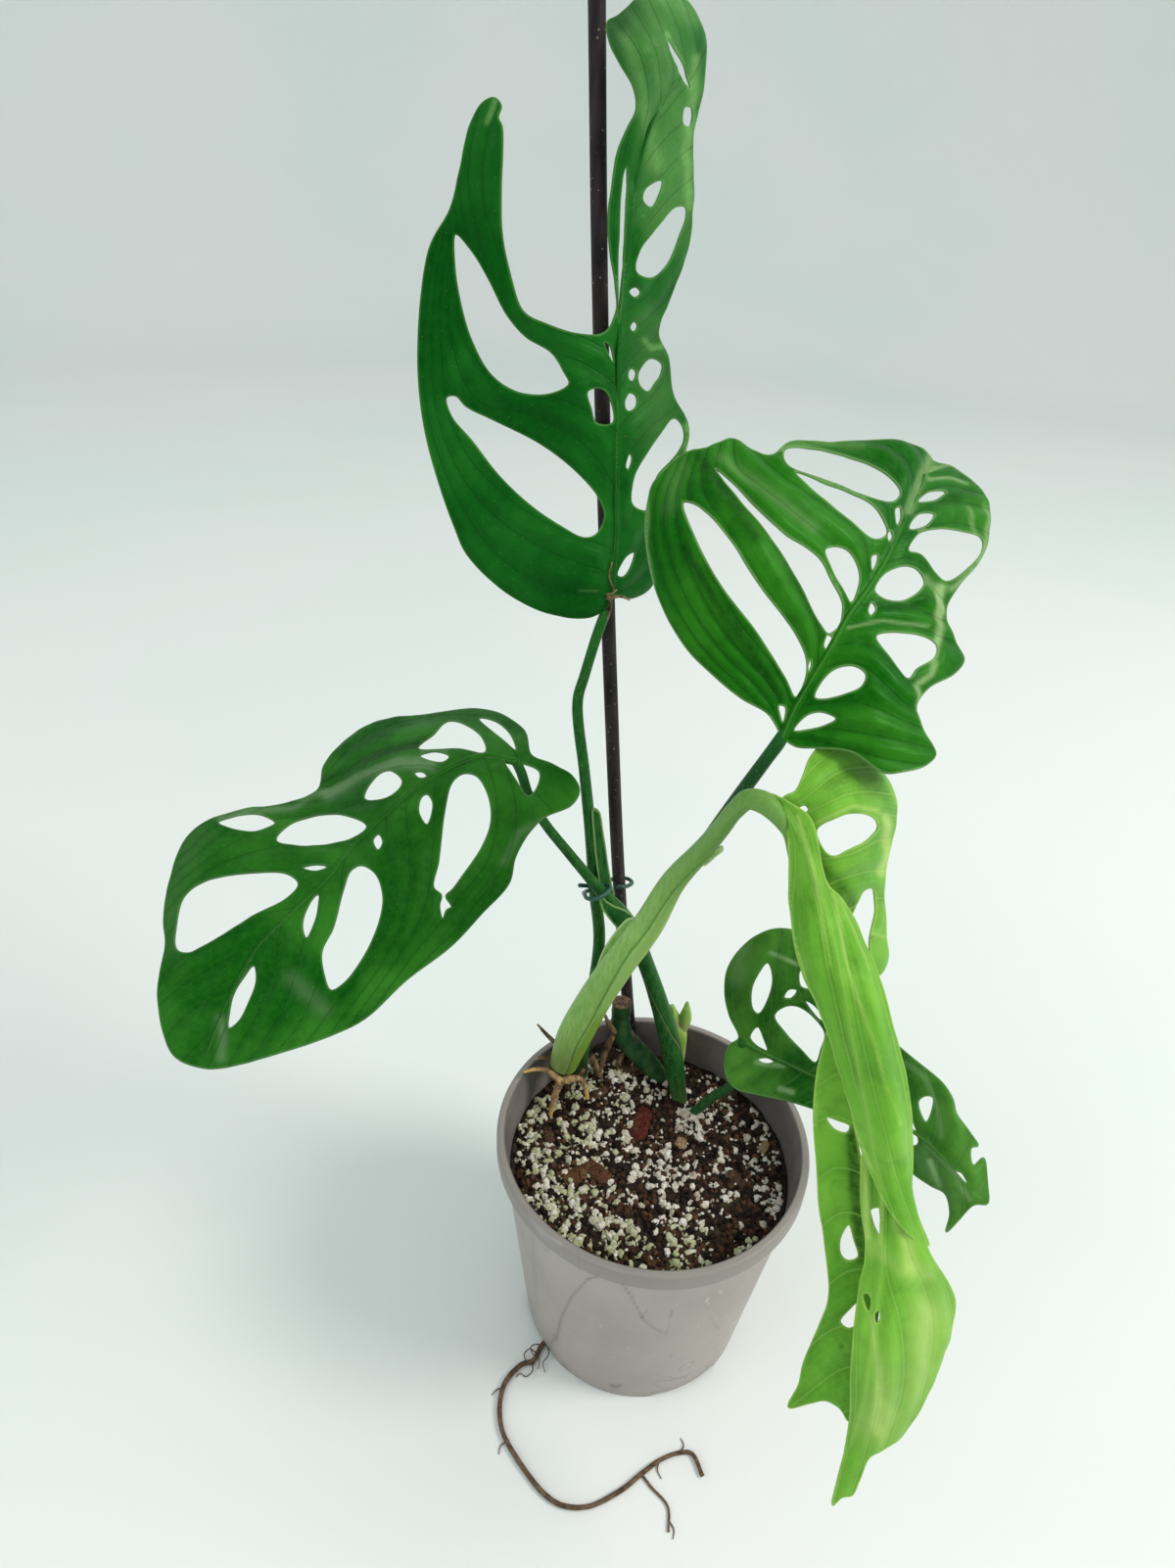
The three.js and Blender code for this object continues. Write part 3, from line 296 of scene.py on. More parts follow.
def rounded_line(corners):
    """A line through corners [across, up, rounding], each corner turned into a short arc."""
    line = []
    for i, (x, z, rounding) in enumerate(corners):
        corner = np.array([x, z])
        if not rounding:
            line.append(corner)
            continue
        before = np.array(corners[i - 1][:2]) - corner
        after = np.array(corners[i + 1][:2]) - corner
        before *= rounding / np.linalg.norm(before)
        after *= rounding / np.linalg.norm(after)
        for t in (0, 0.25, 0.5, 0.75, 1):
            line.append(corner + (1 - t) ** 2 * before + t * t * after)
    return line


floor_top = floor_lift + floor_thickness
lip_foot = pot_height - lip_height
foot_inner = foot_radius - foot_width
wall_start = 0.0042
wall_step = 0.0011
wall_slope = (shoulder_radius - foot_radius) / lip_foot
wall_rings = [wall_start + wall_step * k for k in range(83)]
pot_profile = rounded_line([
    (0, 0, 0),
    (pad_radius, 0, 0.0008),
    (pad_radius + 0.002, floor_lift, 0.0008),
    (foot_inner - 0.002, floor_lift, 0.0008),
    (foot_inner, 0, 0.0008),
    (foot_radius, 0, 0.0006),
    *[(foot_radius + wall_slope * z, z, 0) for z in wall_rings],
    (shoulder_radius, lip_foot, 0.0003),
    (rim_radius - 0.001, lip_foot, 0.0006),
    (rim_radius, lip_foot + 0.001, 0.0006),
    (rim_radius, pot_height, 0.0012),
    (inner_radius(pot_height), pot_height, 0.0009),
    *[(inner_radius(z), z, 0) for z in reversed(wall_rings[5::8])],
    (inner_radius(floor_top), floor_top, 0.002),
    (pad_radius + 0.004, floor_top, 0.001),
    (pad_radius + 0.001, floor_thickness, 0.0008),
    (0, floor_thickness, 0),
])
pot_points, pot_faces = turned_faces(pot_profile, pot_segments)

pot_plastic, tree, shader = new_finish("pot_plastic", gloss=0.35)
cloud = grain(tree, 22, 4)
wall_tone = mixed(tree, between(tree, cloud, 0.3, 0.7), (0.325, 0.285, 0.268), (0.385, 0.342, 0.322))
stain_cloud = grain(tree, 34, 1, (1, 1, 0.55), bend=1.2)
stain_line = maths(tree, "ABSOLUTE", maths(tree, "SUBTRACT", stain_cloud, 0.5))
stain_place = between(tree, grain(tree, 19, 1), 0.5, 0.62)
stain = maths(tree, "MULTIPLY", between(tree, stain_line, 0.012, 0.002), stain_place)
wall_tone = tinted(tree, wall_tone, stain, 0.45, (0.21, 0.18, 0.165))
wall_tone = tinted(tree, wall_tone, specks(tree, 300, 0.12), 0.5, (0.7, 0.68, 0.64))
mark = own(tree, "mark")
wall_tone = mixed(tree, between(tree, mark, 0.0, 1.2), wall_tone, (0.17, 0.14, 0.13))
# Pale where the marks are negative: water specks, and the painted highlight along the lip's lower edge.
wall_tone = mixed(tree, between(tree, mark, -0.05, -1.0), wall_tone, (0.66, 0.64, 0.60))
rub = between(tree, grain(tree, 60, 5, (1, 1, 0.12)), 0.35, 0.75)
wall_tone = tinted(tree, wall_tone, rub, 0.12, (0.52, 0.48, 0.46))
place = add_step(tree, "ShaderNodeTexCoord").outputs["Object"]
spread = add_step(tree, "ShaderNodeSeparateXYZ", {0: place})
flat_place = add_step(tree, "ShaderNodeVectorMath", {0: place}, operation="MULTIPLY")
flat_place.inputs[1].default_value = (1, 1, 0)
length = add_step(tree, "ShaderNodeVectorMath", {0: flat_place.outputs[0]}, operation="LENGTH")
radius = length.outputs["Value"]
wall_radius = maths(tree, "MULTIPLY_ADD", spread.outputs[2], wall_slope, foot_radius)
from_wall = maths(tree, "SUBTRACT", wall_radius, radius)
# Painted shade inside the pot: every surface more than a millimetre inside the outer wall, the inner wall
# and floor, is darkened and mottled by a cloud.
inside_shade = between(tree, from_wall, 0.0004, 0.0010)
inner_cloud = between(tree, grain(tree, 50, 4), 0.35, 0.65)
inside_shade_tone = mixed(tree, inner_cloud, (0.10, 0.082, 0.085), (0.17, 0.145, 0.145))
wall_tone = tinted(tree, wall_tone, inside_shade, 0.85, inside_shade_tone)
# Painted shade: the lip's outer band is darker than the wall below it.
lip = between(tree, spread.outputs[2], lip_foot - 0.0004, lip_foot + 0.0003)
lip = maths(tree, "MULTIPLY", lip, between(tree, from_wall, 0.0010, 0.0004))
wall_tone = tinted(tree, wall_tone, lip, 0.7, (0.235, 0.215, 0.20))
# Painted highlight: a pale line along the lip's lower edge, broken up by a cloud.
lip_highlight = maths(tree, "MULTIPLY", lip, between(tree, spread.outputs[2], lip_foot + 0.0016, lip_foot + 0.0002))
lip_highlight = maths(tree, "MULTIPLY", lip_highlight, between(tree, grain(tree, 45, 3), 0.42, 0.6))
wall_tone = tinted(tree, wall_tone, lip_highlight, 0.6, (0.55, 0.53, 0.50))
low_down = between(tree, spread.outputs[2], 0.012, 0.0)
low_dust = maths(tree, "MULTIPLY", low_down, between(tree, grain(tree, 90, 4), 0.5, 0.7))
wall_tone = tinted(tree, wall_tone, low_dust, 0.5, (0.12, 0.09, 0.07))
wall_sheen = maths(tree, "MULTIPLY_ADD", grain(tree, 160, 4), 0.22, 0.34)
set_surface(tree, shader, wall_tone, wall_sheen, grain(tree, 900, 3), 0.00006, 0.5)

pot = add_piece("pot_shell", pot_points, pot_faces, pot_plastic, ["pot"], sharp=35)
cut_points, cut_faces = [], []


def settle(thing):
    """Turns what an object's modifiers make into its own mesh."""
    view = bpy.context.evaluated_depsgraph_get()
    whole = bpy.data.meshes.new_from_object(thing.evaluated_get(view))
    thing.modifiers.clear()
    thing.data = whole


def add_cutter(ring, low, high):
    """An upright prism over a ring of [x, y] points, for cutting."""
    start, count = len(cut_points), len(ring)
    cut_points.extend([(x, y, low) for x, y in ring] + [(x, y, high) for x, y in ring])
    cut_faces.append([start + k for k in reversed(range(count))])
    cut_faces.append([start + count + k for k in range(count)])
    for k in range(count):
        n = (k + 1) % count
        cut_faces.append([start + k, start + n, start + count + n, start + count + k])


for hole in range(drain_holes):
    angle = 2 * math.pi * (hole + 0.5) / drain_holes
    x, y = drain_circle * math.cos(angle), drain_circle * math.sin(angle)
    ring = [2 * math.pi * k / drain_sides for k in range(drain_sides)]
    ring = [(x + drain_radius * math.cos(a), y + drain_radius * math.sin(a)) for a in ring]
    add_cutter(ring, floor_top - 0.003, floor_top + 0.003)
half_notch = foot_radius * math.sin(math.radians(notch_span / 2))
for notch in range(foot_notches):
    angle = math.radians(notch_turn + 360 * notch / foot_notches)
    along = np.array([math.cos(angle), math.sin(angle)])
    across = np.array([-along[1], along[0]])
    middle = foot_radius * along
    corners = [(-1, -1), (1, -1), (1, 1), (-1, 1)]
    ring = [middle + notch_depth * a * along + half_notch * b * across for a, b in corners]
    add_cutter(ring, -notch_height, notch_height)
cutter = new_object("pot_cutter", cut_points, cut_faces)
cutting = pot.modifiers.new("holes", "BOOLEAN")
cutting.object = cutter
cutting.operation = "DIFFERENCE"
cutting.solver = "EXACT"
settle(pot)
bpy.data.objects.remove(cutter)

# Faint marks on the wall: old roots have dried on it and left curved lines, and water a few specks. The two
# long pale lines along the lip's lower edge are a painted highlight.
wall_marks_and_highlights = [
    (0.75, 1.7, [(568, 1368), (573, 1346), (583, 1325), (600, 1306), (612, 1303)]),
    (0.55, 1.5, [(566, 1362), (560, 1385), (563, 1398)]),
    (0.7, 1.7, [(634, 1308), (646, 1326), (655, 1345), (666, 1355), (676, 1361)]),
    (0.7, 1.4, [(686, 1338), (685, 1350), (681, 1363)]),
    (0.6, 1.4, [(655, 1345), (662, 1336)]),
    (0.6, 1.5, [(724, 1343), (730, 1352), (735, 1358)]),
    (0.5, 1.3, [(729, 1336), (738, 1346)]),
    (0.35, 3.0, [(543, 1250), (545, 1290), (548, 1330)]),
    (0.9, 1.6, [(624, 1414), (629, 1416), (634, 1414)]),
    (-0.8, 1.5, [(735, 1318), (737, 1320)]),
    (-0.8, 1.2, [(722, 1326), (723, 1331)]),
    (-0.6, 1.1, [(690, 1330), (691, 1332)]),
    (-0.7, 1.1, [(612, 1352), (613, 1354)]),
    (-0.6, 1.0, [(668, 1382), (669, 1383)]),
    (-0.6, 1.0, [(702, 1392), (703, 1394)]),
    (-0.5, 1.0, [(640, 1375), (641, 1376)]),
    # Painted highlight: pale lines along the lip's lower edge.
    (-0.75, 2.2, [(543, 1246), (552, 1256), (562, 1264), (572, 1270)]),
    (-0.35, 1.5, [(572, 1270), (600, 1287), (640, 1299), (680, 1303)]),
]


def to_view(points):
    """Where points in metres are seen: pixels x and y."""
    away = np.asarray(points, float) - eye
    ahead = away @ forward
    x = picture_middle[0] + focal_pixels * (away @ right) / ahead
    return np.column_stack([x, picture_middle[1] - focal_pixels * (away @ upward) / ahead])


def nearest_on(line, places):
    """Distance from a line, and on which side of it each place lies."""
    best = np.full(len(places), 1e9)
    side = np.ones(len(places))
    for a, b in zip(line, line[1:]):
        span = b - a
        share = np.clip(((places - a) @ span) / (span @ span), 0, 1)
        away = places - a - share[:, None] * span
        gap = np.linalg.norm(away, axis=1)
        nearer = gap < best
        best = np.where(nearer, gap, best)
        side = np.where(nearer, np.sign(span[0] * away[:, 1] - span[1] * away[:, 0]), side)
    return best, side


pot_points = np.array([tuple(vertex.co) for vertex in pot.data.vertices])
from_axis = np.hypot(pot_points[:, 0], pot_points[:, 1])
outside = from_axis > foot_radius + wall_slope * pot_points[:, 2] - 0.0005
faces_eye = (pot_points[:, :2] * (eye[:2] - pot_points[:, :2])).sum(axis=1) > 0
seen_at = to_view(pot_points)
mark_and_highlight_values = np.zeros(len(pot_points))
for amount, width, line in wall_marks_and_highlights:
    away, _ = nearest_on(np.array(line, float), seen_at)
    mark_and_highlight_values += amount * np.exp(-(away / width) ** 2) * outside * faces_eye
pot.data.attributes.new("mark", "FLOAT", "POINT").data.foreach_set("value", mark_and_highlight_values)


# The growing mix: dark bark and coir mixed with white perlite, loosely filled and mounded round
# the plant. Its body is one rough mound; perlite, crumbs and chips lie on it.
mix_level = 0.087
mix_mound = 0.008
mound_place = (-0.012, 0.043)
mound_width = 0.014
mix_depth = 0.080
mix_gap = 0.0004
mix_rings = 90
mix_sectors = 260


def waves(points, seed, size, layers=3):
    """Smooth random heights, about -1 to 1, from sums of turned waves."""
    random = np.random.default_rng(seed)
    total = np.zeros(len(points))
    for layer in range(layers):
        for _ in range(6):
            angle, start = random.uniform(0, 2 * math.pi, 2)
            step = 2 * math.pi * 1.9 ** layer * random.uniform(0.7, 1.4) / size
            way = points[:, 0] * math.cos(angle) + points[:, 1] * math.sin(angle)
            total += np.sin(step * way + start) / (6 * 1.5 ** layer)
    return total


def mix_height(places):
    """Height of the mix at [x, y] places."""
    places = np.asarray(places, float).reshape(-1, 2)
    away = ((places - mound_place) ** 2).sum(axis=1) / (2 * mound_width ** 2)
    rough = 0.0010 * waves(places, 5, 0.016) + 0.0006 * waves(places, 8, 0.005)
    edge = np.clip((inner_radius(mix_level) - np.linalg.norm(places, axis=1)) / 0.004, 0, 1)
    return mix_level - 0.0006 + mix_mound * np.exp(-away) * edge + rough


mix_edge = inner_radius(mix_level) - mix_gap
mix_places = [(0.0, 0.0)]
for ring in range(1, mix_rings + 1):
    for sector in range(mix_sectors):
        angle = 2 * math.pi * (sector + 0.5 * (ring % 2)) / mix_sectors
        radius = mix_edge * (ring / mix_rings) ** 0.8
        mix_places.append((radius * math.cos(angle), radius * math.sin(angle)))
mix_places = np.array(mix_places)
mix_points = np.column_stack([mix_places, mix_height(mix_places)])
mix_foot = mix_places[-mix_sectors:] * (inner_radius(mix_level - mix_depth) - mix_gap) / mix_edge
mix_foot = np.column_stack([mix_foot, np.full(mix_sectors, mix_level - mix_depth)])
mix_points = np.vstack([mix_points, mix_foot, [[0, 0, mix_level - mix_depth]]])
mix_faces = []
for sector in range(mix_sectors):
    n = (sector + 1) % mix_sectors
    mix_faces.append((0, 1 + sector, 1 + n))
    for ring in range(mix_rings):
        a = 1 + ring * mix_sectors
        b = a + mix_sectors
        mix_faces.append((a + sector, b + sector, b + n, a + n))
    last = len(mix_points) - 1
    mix_faces.append((last, last - mix_sectors + n, last - mix_sectors + sector))

mix_finish, tree, shader = new_finish("dark_mix", gloss=0.2)
crumb = grain(tree, 420, 6, roughness=0.7)
crumb_tone = mixed(tree, between(tree, crumb, 0.35, 0.7), (0.006, 0.004, 0.004), (0.05, 0.028, 0.019))
moss = between(tree, grain(tree, 90, 3), 0.62, 0.72)
crumb_tone = tinted(tree, crumb_tone, moss, 0.25, (0.09, 0.10, 0.03))
damp = maths(tree, "MULTIPLY_ADD", grain(tree, 140, 3), 0.4, 0.6)
set_surface(tree, shader, crumb_tone, damp, crumb, 0.0012, 0.9)
add_piece("mix_body", mix_points, mix_faces, mix_finish, ["growing_mix"])

# Perlite and crumbs: perlite is puffed white stone broken into lumps, some with a green film of
# algae; the crumbs are broken bark. Both lie loose on the mix, thicker in some patches.
grain_sets = [
    ("perlite_large", 680, 0.0018, (7, 5), 11),
    ("perlite_small", 2600, 0.0009, (5, 4), 23),
    ("dark_crumbs", 2100, 0.0015, (5, 4), 37),
]


def scatter_tree(name, cuts, finish):
    """Lumps scattered on a surface, by weight, each turned and sized at random."""
    tree = bpy.data.node_groups.new(name, "GeometryNodeTree")
    face = tree.interface
    face.new_socket("Surface", in_out="INPUT", socket_type="NodeSocketGeometry")
    sizes = {}
    for label, kind in (("Count per square metre", "Float"), ("Lump radius", "Float"), ("Seed", "Int")):
        socket = face.new_socket(label, in_out="INPUT", socket_type=f"NodeSocket{kind}")
        sizes[label] = socket.identifier
    face.new_socket("Lumps", in_out="OUTPUT", socket_type="NodeSocketGeometry")
    given = tree.nodes.new("NodeGroupInput").outputs
    weight = add_step(tree, "GeometryNodeInputNamedAttribute", {"Name": "weight"}, data_type="FLOAT")
    density = maths(tree, "MULTIPLY", weight.outputs[0], given["Count per square metre"])
    inputs = {"Mesh": given["Surface"], "Density": density, "Seed": given["Seed"]}
    spots = add_step(tree, "GeometryNodeDistributePointsOnFaces", inputs)
    ball = add_step(tree, "GeometryNodeMeshUVSphere", {"Segments": cuts[0], "Rings": cuts[1]})
    tree.links.new(given["Lump radius"], ball.inputs["Radius"])
    turn = add_step(tree, "FunctionNodeRandomValue", {"Seed": given["Seed"]}, data_type="FLOAT_VECTOR")
    turn.inputs[1].default_value = (6.28, 6.28, 6.28)
    size = add_step(tree, "FunctionNodeRandomValue", {"Seed": given["Seed"]}, data_type="FLOAT_VECTOR")
    size.inputs[0].default_value = (0.55, 0.55, 0.5)
    size.inputs[1].default_value = (1.15, 1.1, 1.0)
    inputs = {"Points": spots.outputs["Points"], "Instance": ball.outputs["Mesh"]}
    lumps = add_step(tree, "GeometryNodeInstanceOnPoints", inputs)
    tree.links.new(turn.outputs[0], lumps.inputs["Rotation"])
    tree.links.new(size.outputs[0], lumps.inputs["Scale"])
    tone = add_step(tree, "FunctionNodeRandomValue", {"Seed": given["Seed"]}, data_type="FLOAT")
    inputs = {"Geometry": lumps.outputs[0], "Name": "tone", "Value": tone.outputs[1]}
    toned = add_step(tree, "GeometryNodeStoreNamedAttribute", inputs, domain="INSTANCE")
    whole = add_step(tree, "GeometryNodeRealizeInstances", {"Geometry": toned.outputs[0]})
    noise = add_step(tree, "ShaderNodeTexNoise", {"Scale": 900, "Detail": 1})
    centred = add_step(tree, "ShaderNodeVectorMath", {0: noise.outputs["Color"]}, operation="SUBTRACT")
    centred.inputs[1].default_value = (0.5, 0.5, 0.5)
    push = add_step(tree, "ShaderNodeVectorMath", {0: centred.outputs[0]}, operation="SCALE")
    tree.links.new(maths(tree, "MULTIPLY", given["Lump radius"], 0.9), push.inputs["Scale"])
    inputs = {"Geometry": whole.outputs[0], "Offset": push.outputs[0]}
    rough = add_step(tree, "GeometryNodeSetPosition", inputs)
    inputs = {"Geometry": rough.outputs[0], "Material": finish}
    dressed = add_step(tree, "GeometryNodeSetMaterial", inputs)
    tree.links.new(dressed.outputs[0], tree.nodes.new("NodeGroupOutput").inputs[0])
    return tree, sizes


perlite_finish, tree, shader = new_finish("perlite", gloss=0.25)
tone = own(tree, "tone")
place = add_step(tree, "ShaderNodeTexCoord").outputs["Object"]
spread = add_step(tree, "ShaderNodeSeparateXYZ", {0: place})
leftness = between(tree, spread.outputs[0], 0.012, -0.035)
frontness = between(tree, spread.outputs[1], -0.012, -0.045)
greening = maths(tree, "MAXIMUM", maths(tree, "MULTIPLY", leftness, 0.75), frontness)
greening = maths(tree, "MULTIPLY", greening, between(tree, tone, 0.95, 0.2))
white = mixed(tree, tone, (0.52, 0.44, 0.38), (0.84, 0.79, 0.73))
pitted = between(tree, grain(tree, 1500, 3), 0.35, 0.6)
pits = maths(tree, "MULTIPLY_ADD", pitted, -0.35, 0.35)
white = mixed(tree, pits, white, (0.2, 0.15, 0.1))
perlite_tone = tinted(tree, white, greening, 0.75, (0.36, 0.43, 0.17))
set_surface(tree, shader, perlite_tone, 0.85, grain(tree, 2600, 3), 0.0003, 0.7)
crumb_finish, tree, shader = new_finish("bark_crumb", gloss=0.15)
tone = own(tree, "tone")
bark_tone = mixed(tree, maths(tree, "POWER", tone, 2), (0.008, 0.005, 0.004), (0.10, 0.048, 0.026))
set_surface(tree, shader, bark_tone, 0.8, grain(tree, 1400, 4), 0.0003, 0.8)

bed_mesh = bpy.data.meshes.new("mix_bed")
bed_faces = [face for face in mix_faces if max(face) < len(mix_places)]
bed_mesh.from_pydata(mix_points[:len(mix_places)].tolist(), [], bed_faces)
bed_clear = (inner_radius(mix_level) - np.linalg.norm(mix_places, axis=1) > 0.002).astype(float)
patches = waves(mix_places, 31, 0.03)
leftward = np.clip((0.02 - mix_places[:, 0]) / 0.05, 0, 1)
bed_weight = {
    "perlite_large": bed_clear * np.clip(0.5 + 0.9 * patches + 0.5 * leftward, 0.05, 1.6),
    "perlite_small": bed_clear * np.clip(0.4 + 1.3 * patches + 0.4 * leftward, 0.04, 1.8),
    "dark_crumbs": bed_clear * np.clip(0.9 - 0.7 * patches, 0.25, 1.6),
}
bed_mesh.attributes.new("weight", "FLOAT", "POINT")
bed_area = math.pi * mix_edge ** 2
for name, count, radius, cuts, seed in grain_sets:
    finish = crumb_finish if name == "dark_crumbs" else perlite_finish
    bed_mesh.attributes["weight"].data.foreach_set("value", bed_weight[name])
    bed = bpy.data.objects.new(name, bed_mesh)
    bpy.context.collection.objects.link(bed)
    lump_tree, sizes = scatter_tree(name, cuts, finish)
    scatter = bed.modifiers.new("scatter", "NODES")
    scatter.node_group = lump_tree
    scatter[sizes["Count per square metre"]] = count / bed_area
    scatter[sizes["Lump radius"]] = radius
    scatter[sizes["Seed"]] = seed
    settle(bed)
    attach(bed, "root")

# Bark chips: flat pieces of dried bark that lie loose on the mix, each where it shows. They are given
# as [place in the view, length, width in pixels, turn in degrees, colour].
chip_pixel = 0.00043
chip_lift = 0.0006
chip_rings = 9
chip_sides = 12
chips = [
    ((653, 1148), 38, 20, 84, (0.085, 0.016, 0.012)),
    ((580, 1205), 44, 24, 8, (0.10, 0.045, 0.02)),
    ((608, 1197), 34, 18, -40, (0.09, 0.038, 0.02)),
    ((612, 1116), 18, 12, 40, (0.08, 0.05, 0.03)),
    ((695, 1168), 13, 10, 70, (0.30, 0.20, 0.11)),
    ((780, 1172), 14, 9, 60, (0.28, 0.19, 0.11)),
    ((622, 1078), 34, 16, 140, (0.05, 0.03, 0.02)),
    ((642, 1092), 28, 13, 20, (0.055, 0.035, 0.022)),
    ((740, 1120), 26, 12, 15, (0.06, 0.035, 0.02)),
    ((752, 1205), 22, 12, 130, (0.05, 0.03, 0.02)),
    ((700, 1230), 26, 14, 160, (0.04, 0.022, 0.016)),
    ((650, 1255), 20, 11, 30, (0.07, 0.04, 0.025)),
    ((560, 1160), 18, 10, 110, (0.06, 0.035, 0.02)),
]


def from_view(traced):
    """Traced points [x, y, depth in mm] as points of the part, in metres."""
    x, y, depth = np.asarray(traced, float).T
    across = (x - picture_middle[0]) / focal_pixels
    rise = (picture_middle[1] - y) / focal_pixels
    rays = forward + across[..., None] * right + rise[..., None] * upward
    return eye + 0.001 * depth[..., None] * rays


def to_mix(x, y):
    """Where the line of sight through a traced pixel meets the mix."""
    low, high = 380.0, 520.0
    for _ in range(40):
        middle = 0.5 * (low + high)
        point = from_view([[x, y, middle]])[0]
        if point[2] > mix_height(point[:2])[0]:
            low = middle
        else:
            high = middle
    return point


chip_points, chip_faces = [], []
random = np.random.default_rng(3)
for (x, y), length, width, angle, _ in chips:
    middle = to_mix(x, y)
    long_way = np.array([math.cos(math.radians(angle)), math.sin(math.radians(angle)), 0.12])
    wide_way = np.array([-long_way[1], long_way[0], random.uniform(-0.4, 0.4)])
    up_way = np.cross(long_way, wide_way)
    start = len(chip_points)
    for ring in range(chip_rings + 1):
        along = 2 * ring / chip_rings - 1
        girth = (1 - abs(along) ** 5) ** 0.5 * (1 + random.uniform(-0.12, 0.12))
        for side in range(chip_sides):
            turn_angle = 2 * math.pi * side / chip_sides
            a = math.cos(turn_angle) * (0.5 * width + random.uniform(-0.6, 0.6))
            b = math.sin(turn_angle) * 0.2 * width * (1 + random.uniform(-0.2, 0.2))
            out = 0.5 * length * along * long_way + girth * (a * wide_way + b * up_way)
            point = middle + chip_pixel * out
            chip_points.append(point + np.array([0, 0, chip_lift]))
    for ring in range(chip_rings):
        for side in range(chip_sides):
            n = (side + 1) % chip_sides
            a, b = start + ring * chip_sides, start + (ring + 1) * chip_sides
            chip_faces.append((a + side, a + n, b + n, b + side))
    chip_faces.append([start + side for side in reversed(range(chip_sides))])
    chip_faces.append([start + chip_rings * chip_sides + side for side in range(chip_sides)])
chip_colours = []
for *_, colour in chips:
    chip_colours += [colour] * (chip_sides * (chip_rings + 1))
bark_finish, tree, shader = new_finish("bark_chip", gloss=0.12)
fibre = grain(tree, 300, 5, (1, 1, 1), 0.65)
parts = dict(enumerate(own(tree, part) for part in ("red", "green", "blue")))
chip_tone = add_step(tree, "ShaderNodeCombineColor", parts).outputs[0]
fibre_share = maths(tree, "MULTIPLY", between(tree, fibre, 0.45, 0.75), 0.3)
chip_tone = mixed(tree, fibre_share, chip_tone, (0.24, 0.15, 0.08))
chip_pits = between(tree, grain(tree, 900, 3), 0.5, 0.3)
chip_tone = mixed(tree, chip_pits, chip_tone, (0.25, 0.2, 0.18), "MULTIPLY")
set_surface(tree, shader, chip_tone, 0.75, fibre, 0.0006, 0.9)
chip_marks = {part: ("POINT", values) for part, values in zip(("red", "green", "blue"), zip(*chip_colours))}
add_piece("bark_chips", chip_points, chip_faces, bark_finish, marks=chip_marks)


# The stake: a thin rod, slightly bent, of coated metal or dark cane, almost black all over. It is
# pushed down into the mix behind the plant and carries the tie.
def smooth_line(corners, closed=False, steps=14):
    """A smooth line through corners, in any number of columns."""
    corners = np.asarray(corners, float)
    before, after = 2 * corners[:1] - corners[1:2], 2 * corners[-1:] - corners[-2:-1]
    if closed:
        before, after = corners[-1:], corners[:2]
    line = np.vstack([before, corners, after])
    share = np.linspace(0, 1, steps, endpoint=False)[:, None]
    parts = []
    for a, b, c, d in zip(line, line[1:], line[2:], line[3:]):
        before, span, after = (max(np.linalg.norm(q - p), 1e-6) ** 0.5 for p, q in ((a, b), (b, c), (c, d)))
        leave = span * ((b - a) / before - (c - a) / (before + span) + (c - b) / span)
        arrive = span * ((c - b) / span - (d - b) / (span + after) + (d - c) / after)
        cubic = (2 * b - 2 * c + leave + arrive) * share ** 3
        parts.append(cubic + (3 * c - 3 * b - 2 * leave - arrive) * share ** 2 + leave * share + b)
    if not closed:
        parts.append(corners[-1:])
    return np.vstack(parts)


def evenly(line, spacing, closed=False):
    """The same line in even steps of about the spacing."""
    if closed:
        line = np.vstack([line, line[:1]])
    along = np.append(0, np.cumsum(np.linalg.norm(np.diff(line, axis=0), axis=1)))
    count = max(6, round(along[-1] / spacing))
    places = np.linspace(0, along[-1], count + 1)
    if closed:
        places = places[:-1]
    return np.column_stack([np.interp(places, along, column) for column in line.T])


def stem(route, radii, sides=14, spacing=0.0015, form=None, traced=True):
    """A closed stem along a route. Its angle 0 looks at the camera, and form(along, angle) widens
    it, with along from 0 to 1. Returns points, faces and marks."""
    centres = from_view(route) if traced else 0.001 * np.asarray(route, float)
    line = evenly(smooth_line(np.column_stack([centres, 0.001 * np.asarray(radii)])), spacing)
    centres, widths = line[:, :3], line[:, 3]
    ahead = np.gradient(centres, axis=0)
    ahead /= np.linalg.norm(ahead, axis=1)[:, None]
    facing = eye - centres
    facing -= (facing * ahead).sum(axis=1)[:, None] * ahead
    facing /= np.linalg.norm(facing, axis=1)[:, None]
    sideways = np.cross(ahead, facing)
    angles = np.linspace(0, 2 * math.pi, sides, endpoint=False)
    along = np.linspace(0, 1, len(line))
    shape = np.ones((len(line), sides)) if form is None else form(along[:, None], angles[None])
    reach = (widths[:, None] * shape)[..., None]
    rings = np.cos(angles)[None, :, None] * facing[:, None]
    rings = rings + np.sin(angles)[None, :, None] * sideways[:, None]
    points = (centres[:, None] + reach * rings).reshape(-1, 3)
    tips = [centres[0] - 0.25 * widths[0] * ahead[0], centres[-1] + 0.25 * widths[-1] * ahead[-1]]
    points = np.vstack([points, tips])
    faces = []
    for k in range(sides):
        n = (k + 1) % sides
        faces.append((len(points) - 2, n, k))
        for step in range(len(line) - 1):
            a = step * sides
            faces.append((a + k, a + n, a + sides + n, a + sides + k))
        last = (len(line) - 1) * sides
        faces.append((len(points) - 1, last + k, last + n))
    lengthwise = np.append(0, np.cumsum(np.linalg.norm(np.diff(centres, axis=0), axis=1)))
    marks = {
        "along": np.append(np.repeat(lengthwise, sides), [0, lengthwise[-1]]),
        "share": np.append(np.repeat(along, sides), [0, 1]),
        "aside": np.append(np.tile(np.sin(angles), len(line)), [0, 0]),
        "groove": np.append(np.clip((shape - 1) / 0.12, -1, 1).ravel(), [0, 0]),
    }
    return points, faces, marks


